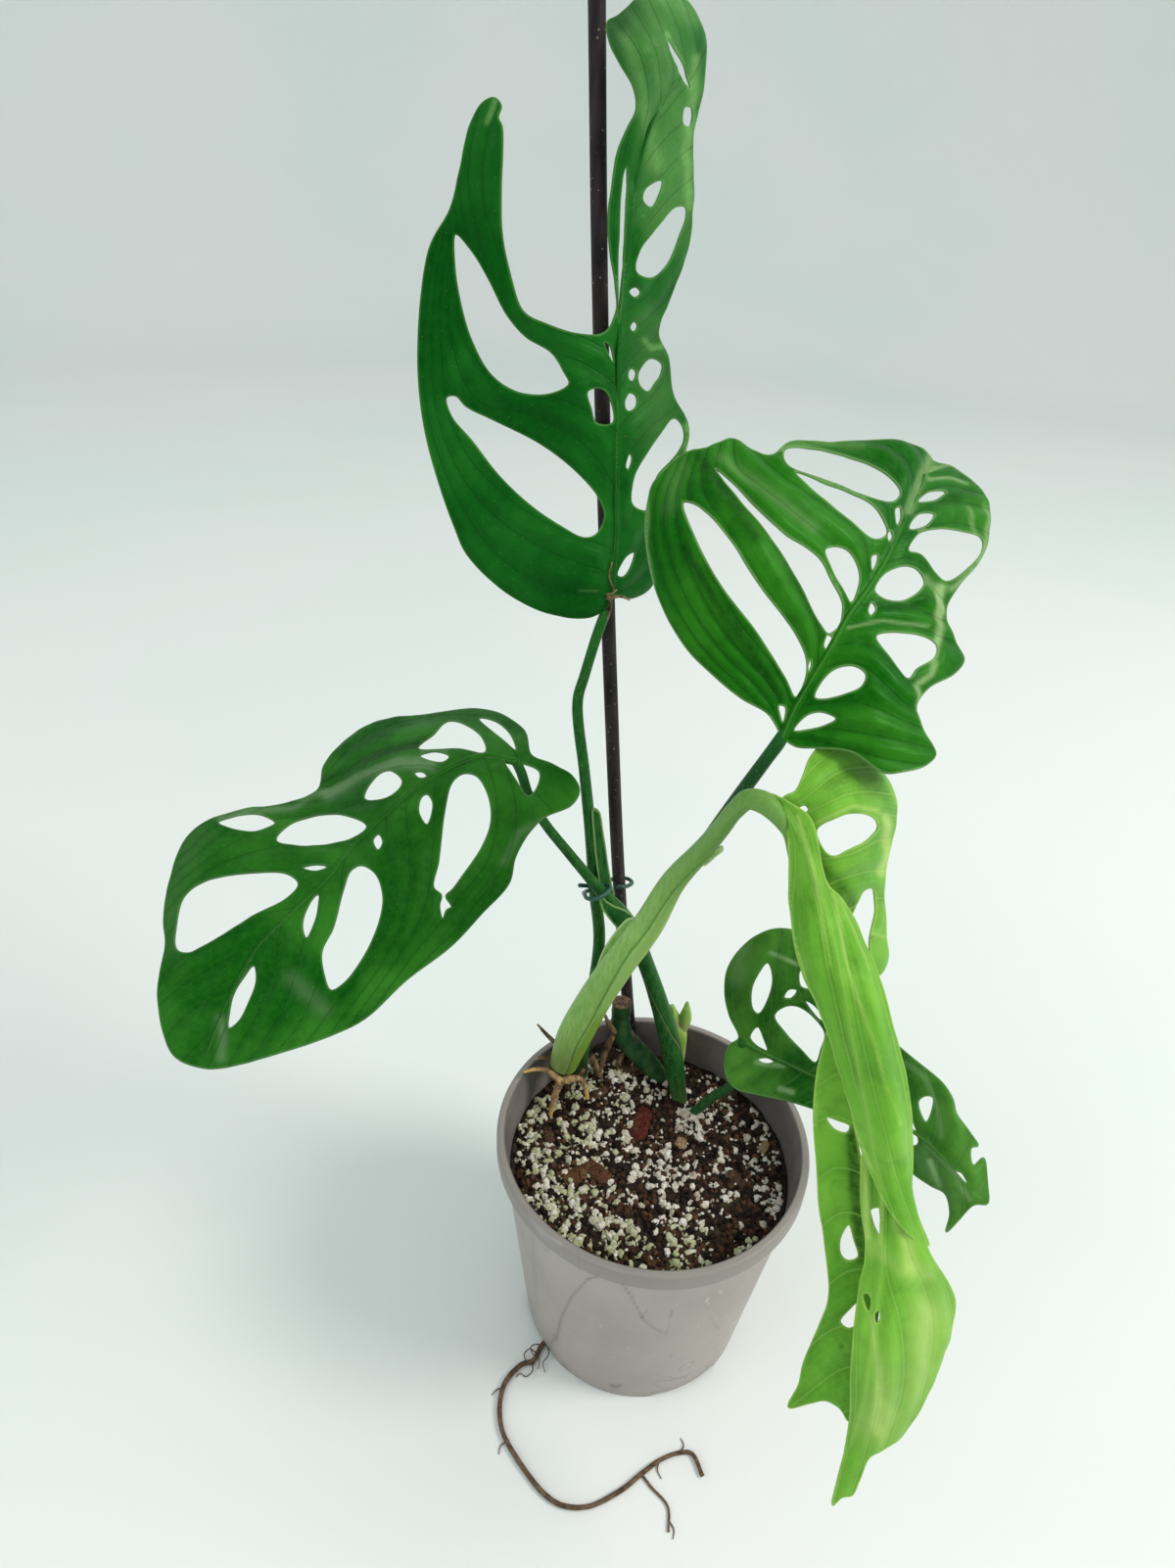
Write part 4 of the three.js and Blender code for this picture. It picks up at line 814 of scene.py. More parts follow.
def add_stems(name, stems, finish, nodes=(), sharp=None):
    """One piece from several stems."""
    points, faces, marks = [], [], {}
    count = 0
    for stem_points, stem_faces, stem_marks in stems:
        points.append(stem_points)
        faces += [tuple(count + corner for corner in face) for face in stem_faces]
        for mark, values in stem_marks.items():
            marks.setdefault(mark, []).append(values)
        count += len(stem_points)
    marks = {mark: ("POINT", np.concatenate(values)) for mark, values in marks.items()}
    return add_piece(name, np.vstack(points), faces, finish, nodes, sharp=sharp, marks=marks)


stake_radius = 2.55
stem_edge = 50
stake_route = [
    [650, 1190, 449], [645, 1078, 427.5], [640, 1010, 416.8], [631, 880, 390], [623.5, 700, 357],
    [616, 450, 323], [612, 250, 298], [610, 50, 278], [609, -60, 266],
]
stake_finish, tree, shader = new_finish("dark_stake", gloss=0.2)
streak = grain(tree, 240, 4, (1, 1, 0.12))
stake_tone = mixed(tree, between(tree, streak, 0.3, 0.7), (0.009, 0.006, 0.008), (0.040, 0.026, 0.031))
dust = maths(tree, "MULTIPLY", specks(tree, 420, 0.16), 0.6)
stake_tone = mixed(tree, dust, stake_tone, (0.35, 0.3, 0.28))
stake_sheen = maths(tree, "MULTIPLY_ADD", grain(tree, 200, 3), 0.35, 0.4)
set_surface(tree, shader, stake_tone, stake_sheen, streak, 0.0003, 0.6)
stake_radii = [stake_radius] * len(stake_route)
stake_stem = stem(stake_route, stake_radii, 28, 0.003)
add_stems("stake_rod", [stake_stem], stake_finish, ["stake"], sharp=stem_edge)

# The tie: soft wire in dark green plastic, hooked round the stake and round two leaf stalks, with
# both its cut ends left standing out.
tie_radius = 0.8
tie_route = [
    [630, 905, 390.6], [636, 905.4, 390.8], [641.5, 904.4, 392.8], [645.5, 901.3, 395.4],
    [641.5, 897.4, 397.5], [634, 896.4, 398], [627, 896.8, 397.8], [622.5, 899.5, 395.2],
    [613, 904.5, 383], [603, 908.3, 379.8], [597.2, 911, 376.2], [597, 913.2, 368],
    [600.5, 917.5, 362], [608, 918, 360.4], [614.5, 915, 361.3], [619.6, 911.3, 363.2],
    [623, 907, 365.6], [620.3, 904, 369], [612, 905, 369.7], [604, 904.9, 369],
    [598, 904.3, 367.4], [591, 904, 366.3],
]
tie_finish, tree, shader = new_finish("tie_plastic", gloss=0.5)
across = maths(tree, "ABSOLUTE", own(tree, "aside"))
tie_cloud = between(tree, grain(tree, 500, 2), 0.3, 0.7)
tie_tone = mixed(tree, tie_cloud, (0.008, 0.055, 0.04), (0.02, 0.10, 0.075))
# Painted highlight: the round wire is lighter along both flanks as the camera sees it.
tie_tone = mixed(tree, between(tree, across, 0.85, 1.0), tie_tone, (0.10, 0.26, 0.20))
tie_sheen = maths(tree, "MULTIPLY_ADD", grain(tree, 700, 2), 0.2, 0.3)
set_surface(tree, shader, tie_tone, tie_sheen, grain(tree, 1200, 2), 0.0001, 0.4)
tie_radii = [tie_radius] * len(tie_route)
add_stems("tie_wire", [stem(tie_route, tie_radii, 12, 0.0006)], tie_finish, ["wire_tie"])

# The rhizome: the creeping green stem that the stalks grow from. Its older end was cut off square
# and has dried brown, and its younger end dips into the mix.
rhizome_route = [
    [635, 1023, 405], [634, 1040, 409], [636, 1055, 412], [647, 1070, 415], [662, 1086, 417],
    [676, 1103, 421],
]
rhizome_radii = [4.0, 3.9, 4.2, 4.5, 4.4, 3.9]


def node_rings(along, angles):
    """Slightly swollen joints along a stem."""
    return 1 + 0.05 * np.cos(2 * math.pi * 5 * along) ** 8 + 0.02 * np.sin(3 * angles + 9 * along)


rhizome_finish, tree, shader = new_finish("rhizome_skin", gloss=0.25, soft=0.03)
skin = grain(tree, 260, 4, (1, 1, 0.4))
rind = mixed(tree, between(tree, skin, 0.3, 0.7), (0.010, 0.055, 0.018), (0.035, 0.11, 0.03))
bark_ring = between(tree, maths(tree, "PINGPONG", own(tree, "along"), 0.0035), 0.0006, 0.0)
rind = tinted(tree, rind, bark_ring, 0.35, (0.10, 0.09, 0.04))
cut = between(tree, own(tree, "along"), 0.0006, 0.0001)
core = mixed(tree, between(tree, grain(tree, 700, 4), 0.35, 0.65), (0.10, 0.055, 0.03), (0.27, 0.17, 0.10))
rind = mixed(tree, cut, rind, core)
rind_sheen = maths(tree, "MULTIPLY_ADD", skin, 0.3, 0.35)
set_surface(tree, shader, rind, rind_sheen, grain(tree, 600, 4), 0.0004, 0.6)
rhizome_stem = stem(rhizome_route, rhizome_radii, 28, 0.0008, node_rings)
add_stems("rhizome_stem", [rhizome_stem], rhizome_finish, ["rhizome"], sharp=stem_edge)

# Aerial roots: corky tan roots with yellow tips. They grow from a small crown under the young
# leaf's stalk and reach down to the mix.
root_routes = [
    ([[573, 1104, 397.5], [569, 1112, 399], [565, 1125, 401], [562, 1139, 402]], [1.7, 1.45, 1.3, 0.8]),
    ([[573, 1104, 397.5], [558, 1093, 396], [546, 1092, 394], [535, 1095, 392]], [1.7, 1.0, 0.8, 0.4]),
    ([[573, 1104, 397.5], [590, 1101, 400], [597, 1108, 403], [600, 1122, 405]], [1.7, 1.3, 1.15, 0.8]),
]


def corky(along, angles):
    """An uneven, ringed skin."""
    return 1 + 0.06 * np.sin(60 * along + 2 * np.sin(angles)) + 0.05 * np.sin(2 * angles + 23 * along)


root_finish, tree, shader = new_finish("root_cork", gloss=0.25)
cork = grain(tree, 500, 5, roughness=0.65)
root_tone = mixed(tree, between(tree, cork, 0.3, 0.7), (0.14, 0.08, 0.04), (0.52, 0.34, 0.17))
tip = between(tree, own(tree, "share"), 0.6, 0.95)
root_tone = tinted(tree, root_tone, tip, 0.8, (0.62, 0.40, 0.09))
set_surface(tree, shader, root_tone, 0.8, cork, 0.0004, 0.8)
root_stems = [stem(route, radii, 16, 0.0006, corky) for route, radii in root_routes]
add_stems("aerial_root_crown", root_stems, root_finish, ["aerial_roots"])

# Dried remains: papery sheath strips, dead roots and two short root tips round the old stem end, and
# a few fibres at the foot of leaf 1.
remains = [
    ([[566, 1064, 400], [557, 1055, 398], [549, 1046, 396]], [1.0, 0.8, 0.4]),
    ([[568, 1084, 401], [557, 1080, 398], [547, 1081, 396]], [1.1, 0.9, 0.6]),
    ([[628, 1054, 408], [621, 1044, 406], [617, 1033, 403]], [1.4, 1.0, 0.3]),
    ([[641, 1050, 410], [648, 1060, 411], [651, 1074, 413], [645, 1088, 416]], [0.6, 0.9, 0.8, 0.5]),
    ([[626, 1058, 408], [618, 1074, 410], [612, 1092, 414], [608, 1106, 418]], [1.2, 1.5, 1.3, 0.8]),
    ([[604, 1078, 405], [610, 1092, 411], [616, 1106, 417]], [1.3, 1.4, 0.7]),
    ([[640, 1070, 415], [632, 1084, 416], [630, 1100, 420]], [1.0, 1.2, 0.7]),
    ([[652, 1082, 417], [656, 1094, 419], [650, 1106, 423]], [0.8, 0.8, 0.5]),
    ([[596, 1092, 409], [590, 1102, 413], [592, 1116, 419]], [1.0, 0.9, 0.5]),
    ([[605, 604, 329.5], [614, 605, 328.6], [623, 607, 328], [630, 602, 328.4]], [0.25, 0.45, 0.5, 0.25]),
    ([[610, 613, 330], [622, 611, 328.4], [634, 609, 328.6], [643, 613, 331]], [0.3, 0.5, 0.5, 0.25]),
    ([[621, 608, 328], [624, 620, 328.8], [620, 633, 330.5]], [0.5, 0.5, 0.2]),
    ([[627, 603, 327.6], [622, 588, 326.4], [625, 574, 325]], [0.3, 0.35, 0.2]),
]
remains_finish, tree, shader = new_finish("dried_remains", gloss=0.2)
paper_grain = grain(tree, 520, 5, (1, 1, 0.4), 0.65)
dry_tone = mixed(tree, between(tree, paper_grain, 0.3, 0.7), (0.05, 0.028, 0.017), (0.26, 0.17, 0.09))
pale_tip = between(tree, own(tree, "share"), 0.7, 1.0)
dry_tone = tinted(tree, dry_tone, pale_tip, 0.5, (0.42, 0.33, 0.2))
set_surface(tree, shader, dry_tone, 0.8, paper_grain, 0.0004, 0.8)
remains_stems = [stem(route, radii, 10, 0.0007, corky) for route, radii in remains]
add_stems("dried_remains", remains_stems, remains_finish)

# The new shoot: a light green shoot with a split tip, pushing up by the pot's back wall.
shoot_stems = [
    stem([[693, 1086, 424], [693, 1070, 421], [692, 1052, 417], [690, 1041, 415]],
         [2.2, 3.1, 3.8, 2.1], 24, 0.0006),
    stem([[690, 1046, 416], [687, 1036, 414], [686, 1027, 412]], [2.9, 2.6, 1.2], 18, 0.0005),
    stem([[695, 1050, 417], [700, 1038, 414], [702, 1023, 412]], [3.0, 2.7, 0.6], 18, 0.0005),
]
shoot_finish, tree, shader = new_finish("shoot_skin", gloss=0.45, soft=0.12)
shoot_streak = between(tree, grain(tree, 300, 3, (1, 1, 0.2)), 0.3, 0.7)
shoot_tone = mixed(tree, shoot_streak, (0.20, 0.38, 0.055), (0.42, 0.60, 0.14))
shoot_tone = mixed(tree, between(tree, own(tree, "share"), 0.6, 0.0), shoot_tone, (0.40, 0.42, 0.2))
shoot_sheen = maths(tree, "MULTIPLY_ADD", grain(tree, 400), 0.2, 0.35)
set_surface(tree, shader, shoot_tone, shoot_sheen, grain(tree, 900, 3), 0.0002, 0.5)
add_stems("shoot_spear", shoot_stems, shoot_finish, ["new_shoot"])

# The escaped root: one root that has grown out under the pot and lies on the surface, with a
# rootlet and hairs.
escaped_radius = 1.1
rootlet_radius = 0.5
escaped_route = [
    [-33, -24], [-38, -28.5], [-41, -35], [-46, -37], [-51.5, -44], [-53, -53], [-50.5, -63],
    [-43, -73], [-34, -82], [-26, -86], [-16, -85.5], [-5, -80], [3, -74], [10, -69], [18, -66],
    [22.5, -66], [26, -73.5],
]
rootlet_route = [[3, -74], [6.5, -78], [12.5, -84], [12.5, -92]]
escaped_line = [[x, y, escaped_radius + 0.05] for x, y in escaped_route]
rootlet_line = [[x, y, rootlet_radius + 0.12] for x, y in rootlet_route]
escaped_radii = np.linspace(escaped_radius - 0.02, 0.75, len(escaped_line))
old_root_finish, tree, shader = new_finish("old_root", gloss=0.2)
dried = grain(tree, 420, 5, roughness=0.7)
old_tone = mixed(tree, between(tree, dried, 0.3, 0.7), (0.05, 0.03, 0.02), (0.20, 0.13, 0.08))
set_surface(tree, shader, old_tone, 0.85, dried, 0.0004, 0.8)
root_hairs = [
    [[-37, -29, 1.5], [-40.5, -29.5, 3.2], [-42.5, -32, 5], [-41, -34.5, 4], [-38.5, -35, 2],
     [-39, -38, 0.6]],
    [[-40, -32, 1.2], [-43, -31, 2.2], [-45, -33, 1.4], [-43.5, -35.5, 0.5], [-40.5, -36.5, 0.4]],
    [[-42, -35.5, 1], [-41, -39, 1.5], [-43.5, -41.5, 1.1], [-46, -40, 0.5], [-47.5, -41.5, 0.4]],
    [[-36, -28, 1], [-35, -33, 2.5], [-37, -36, 1.6], [-36, -39, 0.4]],
    [[-52, -46, 0.9], [-55, -47, 0.5], [-56.5, -49, 0.3]],
    [[-48, -65, 0.8], [-51, -67, 0.5], [-51.5, -70, 0.3]],
    [[10, -69, 0.9], [9, -72, 0.5], [10.5, -75, 0.3]],
    [[18, -66, 0.9], [19.5, -63, 0.5], [18.5, -60.5, 0.3]],
    [[12.5, -88, 0.5], [14.5, -91, 0.3], [14, -94, 0.3]],
]
escaped_stems = [
    *[stem(hair, np.linspace(0.32, 0.16, len(hair)), 6, 0.0008, traced=False) for hair in root_hairs],
    stem(escaped_line, escaped_radii, 14, 0.0009, corky, traced=False),
    stem(rootlet_line, [rootlet_radius, rootlet_radius, 0.45, 0.4], 10, 0.0009, corky, traced=False),
]
add_stems("escaped_root_strand", escaped_stems, old_root_finish, ["escaped_root"])

# The leaf stalks: smooth round stalks, each clasped by a sheath low down. On stalks 3 and 4 the
# sheath's edge is seen as a fold line, traced as [share of the length, degrees from the front].
def folded_form(fold, end):
    """A stalk with a sheath that lies over its right flank, from the fold line on."""
    shares, degrees = zip(*fold)

    def form(along, angles):
        turn = np.interp(along, shares, np.radians(degrees))
        past = (angles - turn + math.pi) % (2 * math.pi) - math.pi
        lasts = np.clip((end - along) / 0.04, 0, 1)
        crease = 0.10 * np.exp(-(past / 0.08) ** 2)
        sheath = 0.04 * np.clip(past / 0.12, 0, 1) * np.clip((2.0 - past) / 0.6, 0, 1)
        return 1 + lasts * (sheath - crease) + 0.008 * np.cos(2 * angles)
    return form


def plain_form(along, angles):
    """A nearly round stalk."""
    return 1 + 0.015 * np.sin(3 * angles + 14 * along)


young_fold = [
    (0.0, 30), (0.079, 25), (0.175, 33), (0.248, 27), (0.383, 9), (0.505, 14), (0.601, 38),
    (0.664, 50), (0.724, 88),
]
old_fold = [(0.0, 110), (0.18, 85), (0.228, 31), (0.275, 0), (0.365, -49), (0.44, -85)]
stalks = [
    (
        [[592, 1112, 421], [595, 1076, 412], [604, 1020, 403], [612, 960, 391], [607, 905, 374],
         [603, 850, 361], [597, 790, 351], [590, 716, 342], [597, 690, 339], [611, 645, 333],
         [619, 624, 331]],
        [2.7, 2.7, 2.5, 2.4, 2.3, 2.2, 2, 1.9, 1.8, 1.8, 1.8],
        plain_form, (0.006, 0.060, 0.010), (0.030, 0.135, 0.025),
    ),
    (
        [[577, 1112, 419], [579.5, 1078, 410.3], [611, 1030, 393.5], [662, 950, 360],
         [700, 890, 326], [735, 840, 297], [765, 799, 278], [785, 772, 270], [796, 757, 266.5],
         [804, 743, 265.6], [814, 722, 265.2]],
        [2.4, 2.4, 2.4, 2.3, 2.2, 2.1, 2, 1.9, 1.9, 1.5, 0.9],
        plain_form, (0.008, 0.045, 0.016), (0.022, 0.09, 0.03),
    ),
    (
        [[698, 1144, 417], [694, 1124, 413], [687, 1080, 408], [675, 1030, 400], [660, 985, 390],
         [643, 948, 377.5], [630, 930, 372], [617, 914, 367.3], [605, 900, 364.5], [580, 870, 357.5],
         [556, 840, 352], [540, 812, 348], [532, 788, 343], [527, 778, 340.4]],
        [3.4, 3.4, 4.2, 3.8, 3.3, 3.9, 3.6, 2.5, 2.1, 1.9, 1.8, 1.8, 1.8, 1.7],
        folded_form(old_fold, 0.46), (0.006, 0.055, 0.010), (0.030, 0.125, 0.028),
    ),
    (
        [[575, 1086, 401], [586, 1058, 392], [607, 1020, 378], [631, 985, 362], [661, 945, 343],
         [687, 901, 321], [717, 868, 299], [736, 846, 283], [751, 827, 270], [766, 816, 262],
         [781, 820, 259.5], [791, 829, 259], [799, 841, 259], [804, 852, 259.5], [806.5, 870, 260],
         [808.5, 892, 260.5]],
        [5.6, 6.8, 6.4, 5.9, 5.3, 4.1, 3.2, 2.8, 2.6, 2.9, 3.1, 2.7, 1.9, 1.2, 0.7, 0.25],
        folded_form(young_fold, 0.76), (0.20, 0.385, 0.08), (0.31, 0.51, 0.14),
    ),
    (
        [[699, 1142, 412], [708, 1136, 409], [728, 1120, 402], [745, 1109, 397], [754, 1088, 394.5],
         [757, 1071, 391], [759, 1062, 389]],
        [2, 2, 2, 1.9, 1.8, 1.7, 1.6],
        plain_form, (0.015, 0.065, 0.02), (0.04, 0.12, 0.04),
    ),
]
for number, (route, radii, form, deep, fresh) in enumerate(stalks, 1):
    young = number == 4
    soft = 0.1 if young else 0.04
    finish, tree, shader = new_finish(f"stalk_skin_{number}", 0.14, soft, (0.4, 1, 0.5))
    streak = grain(tree, 700, 4, (1, 1, 0.25))
    skin = mixed(tree, between(tree, streak, 0.25, 0.75), deep, fresh)
    # Painted light: each stalk is lighter on the flank to the right of an upright stalk as the camera sees
    # it, where the key light falls.
    lit_flank = between(tree, own(tree, "aside"), -0.7, 0.8)
    skin = tinted(tree, skin, lit_flank, 0.35, fresh)
    base = between(tree, own(tree, "share"), 0.14, 0.0)
    skin = tinted(tree, skin, base, 0.5, (0.16, 0.14, 0.06))
    crease = between(tree, own(tree, "groove"), -0.2, -0.55)
    if young:
        sheath = between(tree, own(tree, "groove"), 0.12, 0.26)
        low = between(tree, own(tree, "share"), 0.23, 0.15)
        sheath_tone = mixed(tree, low, (0.34, 0.55, 0.16), (0.17, 0.30, 0.025))
        skin = tinted(tree, skin, sheath, 0.7, sheath_tone)
        # Painted shade in the fold where the sheath's edge lies over the stalk.
        skin = tinted(tree, skin, crease, 0.5, (0.06, 0.17, 0.03))
        upper = between(tree, own(tree, "share"), 0.33, 0.76)
        skin = tinted(tree, skin, upper, 0.7, (0.10, 0.235, 0.05))
    else:
        end = between(tree, own(tree, "share"), 0.88, 1.0)
        skin = tinted(tree, skin, end, 0.7, (0.02, 0.14, 0.02))
        skin = tinted(tree, skin, crease, 0.7, (0.30, 0.25, 0.12))
    dots = maths(tree, "MULTIPLY", specks(tree, 900, 0.25), 0.35)
    skin = mixed(tree, dots, skin, (0.35, 0.42, 0.2))
    sheen = maths(tree, "MULTIPLY_ADD", grain(tree, 300), 0.25, 0.3)
    set_surface(tree, shader, skin, sheen, grain(tree, 900, 3, (1, 1, 0.3)), 0.0002, 0.5)
    slot = "young_stalk" if young else "leaf_stalk"
    sides, spacing = (20, 0.0012) if form is plain_form else (90, 0.0008)
    made = stem(route, radii, sides, spacing, form)
    add_stems(f"stalk_{number}", [made], finish, [f"leaf_stalk_{number}"])


# The leaf blades: leathery sheets with holes between the side veins. Each outline and hole is a
# smooth closed curve through traced pixels, and the side veins are numbered from the leaf's base
# on each side of the midrib, so that the leaf swells between them and finer veins follow them.
blade_thickness = 0.0006
grid_pixels = 2.9
edge_pixels = 2.6
vein_spacing = 22
vein_ease = 0.02
finest_gap = 0.4
widest_gap = 14
swell_height = 0.0005
rib_dip = 0.0004
ripple = 0.0003
leaf_crease = 48
vein_sides = {"left": -1, "right": 1, "vein": 0}


def read_leaf(text):
    """A leaf from words and what follows them: the sheets, each with its outline, holes, depths [x, y,
    depth], side veins on the left, on the right or on both sides of the midrib, tints [amount, width] along
    a line, a wash over all of it and a swell; then the midrib and its radii. Positive tints are pale margins
    and veins and painted highlights on folds and crumples; negative ones are mostly painted shade in pleats,
    under folds and behind other parts."""
    leaf = {"sheets": []}
    entry = None
    for token in text.split():
        if token == "sheet":
            sheet = {"holes": [], "veins": {}, "tints": [], "wash": [[0.0]], "swell": [[1.0]]}
            leaf["sheets"].append(sheet)
        elif token in vein_sides:
            entry = []
            sheet["veins"].setdefault(vein_sides[token], []).append(entry)
        elif token in ("hole", "tint"):
            entry = []
            sheet[token + "s"].append(entry)
        elif token in ("midrib", "radii"):
            entry = leaf[token] = []
        elif token.isalpha():
            entry = sheet[token] = []
        else:
            entry.append([float(number) for number in token.split(",")])
    return leaf


def smooth_field(known, ease=0.0):
    """A smooth surface through known [x, y, value], as a function of [x, y] places."""
    known = np.asarray(known, float)
    centres = known[:, :2] / 100

    def terms(places):
        places = np.asarray(places, float) / 100
        gaps = np.linalg.norm(places[:, None] - centres[None], axis=2)
        return np.hstack([gaps ** 3, np.ones((len(places), 1)), places])

    count = len(known)
    matrix = np.zeros((count + 3, count + 3))
    matrix[:count] = terms(known[:, :2])
    matrix[count:, :count] = matrix[:count, count:].T
    matrix[:count, :count] += ease * np.eye(count)
    weights = np.linalg.solve(matrix, np.append(known[:, 2], [0, 0, 0]))
    return lambda places: terms(places) @ weights


def inside(places, loops):
    """Which places lie inside the first loop and in none of the others."""
    crossings = np.zeros(len(places), int)
    for loop in loops:
        for (ax, ay), (bx, by) in zip(loop, np.roll(loop, -1, axis=0)):
            spans = (places[:, 1] < ay) != (places[:, 1] < by)
            if ay != by:
                reach = ax + (places[:, 1] - ay) * (bx - ax) / (by - ay)
                crossings += spans & (places[:, 0] < reach)
    return crossings % 2 == 1


def edge_distances(loops, places):
    """How far each place lies from the nearest edge, in pixels."""
    corners = np.vstack(loops)
    search = kdtree.KDTree(len(corners))
    for index, place in enumerate(corners):
        search.insert((*place, 0), index)
    search.balance()
    return np.array([search.find((*place, 0))[2] for place in places])


def flat_triangles(loops, spacing):
    """Even triangles between the outline and its holes."""
    edges, start = [], 0
    for loop in loops:
        edges += [(start + k, start + (k + 1) % len(loop)) for k in range(len(loop))]
        start += len(loop)
    low, high = loops[0].min(axis=0), loops[0].max(axis=0)
    rows = np.arange(low[1], high[1], 0.87 * spacing)
    columns = np.arange(low[0], high[0] + spacing, spacing)
    grid = np.array([(x + 0.5 * spacing * (row % 2), y) for row, y in enumerate(rows) for x in columns])
    clear = edge_distances(loops, grid) > 0.6 * spacing
    grid = grid[clear & inside(grid, loops)]
    every = [Vector(place) for place in np.vstack([*loops, grid])]
    made = geometry.delaunay_2d_cdt(every, edges, [], 0, 1e-4, False)
    places = np.array([tuple(place) for place in made[0]])
    faces = np.array([tuple(face) for face in made[2]])
    middles = places[faces].mean(axis=1)
    return places, faces[inside(middles, loops)]


def blade_sheet(sheet, midrib):
    """One sheet of a blade, with its two sides and rounded edge, and its marks."""
    outlines = [sheet["outline"], *sheet["holes"]]
    loops = [evenly(smooth_line(line, closed=True), edge_pixels, closed=True) for line in outlines]
    places, faces = flat_triangles(loops, grid_pixels)
    depth_at = smooth_field(sheet["depths"])
    depths = depth_at(places)
    middle = from_view(np.column_stack([places, depths]))
    corners = middle[faces]
    faced = np.cross(corners[:, 1] - corners[:, 0], corners[:, 2] - corners[:, 0])
    if (faced * (eye - corners[:, 0])).sum() < 0:
        faces = faces[:, ::-1]
        faced = -faced
    normals = np.zeros_like(middle)
    for corner in range(3):
        np.add.at(normals, faces[:, corner], faced)
    normals /= np.linalg.norm(normals, axis=1)[:, None]

    rib, side = nearest_on(np.array(midrib)[:, :2], places)
    millimetre = depths / focal_pixels
    numbers = np.zeros(len(places))
    gaps = np.ones(len(places))
    for sign, lines in sheet["veins"].items():
        known = [(x, y, number) for number, line in enumerate(lines)
                 for x, y in evenly(smooth_line(line), vein_spacing)]
        field = smooth_field(known, vein_ease)
        here = np.ones(len(places), bool) if sign == 0 else side == sign
        chosen = places[here]
        value = field(chosen)
        slope = np.hypot(field(chosen + (1, 0)) - value, field(chosen + (0, 1)) - value)
        numbers[here] = value
        gaps[here] = millimetre[here] / np.clip(slope, 0.004, None)
    gaps = np.clip(gaps, finest_gap, widest_gap)
    rib = rib * millimetre
    edge = edge_distances(loops, places) * millimetre

    tint = np.full(len(places), sheet["wash"][0][0])
    for (amount, width), *line in sheet["tints"]:
        away, _ = nearest_on(np.array(line), places)
        tint += amount * np.exp(-(away / width) ** 2)
    folds = 0.5 - 0.5 * np.cos(2 * math.pi * numbers)
    rise = swell_height * sheet["swell"][0][0] * np.clip(gaps / 6, 0, 1.3) * folds
    rise = rise * np.clip(edge / 1.5, 0.25, 1) * np.clip((rib - 1) / 4, 0, 1)
    rise -= rib_dip * np.exp(-((rib - 1.6) / 1.1) ** 2)
    rise += ripple * waves(places, 41, 46, 2)
    middle = middle + rise[:, None] * normals

    sides = {(face[k], face[(k + 1) % 3]) for face in faces.tolist() for k in range(3)}
    open_sides = [(a, b) for a, b in sides if (b, a) not in sides]
    open_sides.sort()
    rim = sorted({corner for pair in open_sides for corner in pair})
    rim_number = {corner: index for index, corner in enumerate(rim)}
    outward = np.zeros((len(rim), 3))
    for a, b in open_sides:
        way = np.cross(middle[b] - middle[a], normals[a])
        way /= max(np.linalg.norm(way), 1e-9)
        outward[rim_number[a]] += way
        outward[rim_number[b]] += way
    outward /= np.maximum(np.linalg.norm(outward, axis=1), 1e-6)[:, None]
    half = 0.5 * blade_thickness * normals
    points = np.vstack([middle + half, middle - half, middle[rim] + 0.35 * blade_thickness * outward])
    count = len(middle)
    whole = faces.tolist() + (faces[:, ::-1] + count).tolist()
    for a, b in open_sides:
        ra, rb = 2 * count + rim_number[a], 2 * count + rim_number[b]
        whole.append((b, a, ra, rb))
        whole.append((rb, ra, a + count, b + count))
    marks = {}
    for name, values in (("vein", numbers), ("gap", gaps), ("rib", rib), ("edge", edge), ("tint", tint)):
        marks[name] = np.concatenate([values, values, values[rim]])
    marks["under"] = np.concatenate([np.zeros(count), np.ones(count), np.full(len(rim), 0.5)])
    return points, whole, marks


def midrib_stem(leaf):
    """The midrib, sunk in the blade: it stands out more under the blade than on it."""
    depth_at = smooth_field(leaf["sheets"][0]["depths"])
    route, radii = [], []
    for (x, y, *depth), (radius,) in zip(leaf["midrib"], leaf["radii"]):
        near = depth[0] if depth else depth_at([[x, y]])[0]
        route.append([x, y, near + 0.30 * radius])
        radii.append(0.75 * radius)
    points, faces, marks = stem(route, radii, 16, 0.0016)
    blank = np.zeros(len(points))
    return points, faces, {"vein": blank + 0.5, "gap": blank + 9, "rib": 0.2 + abs(marks["aside"]),
                           "edge": blank + 9, "tint": blank, "under": blank}


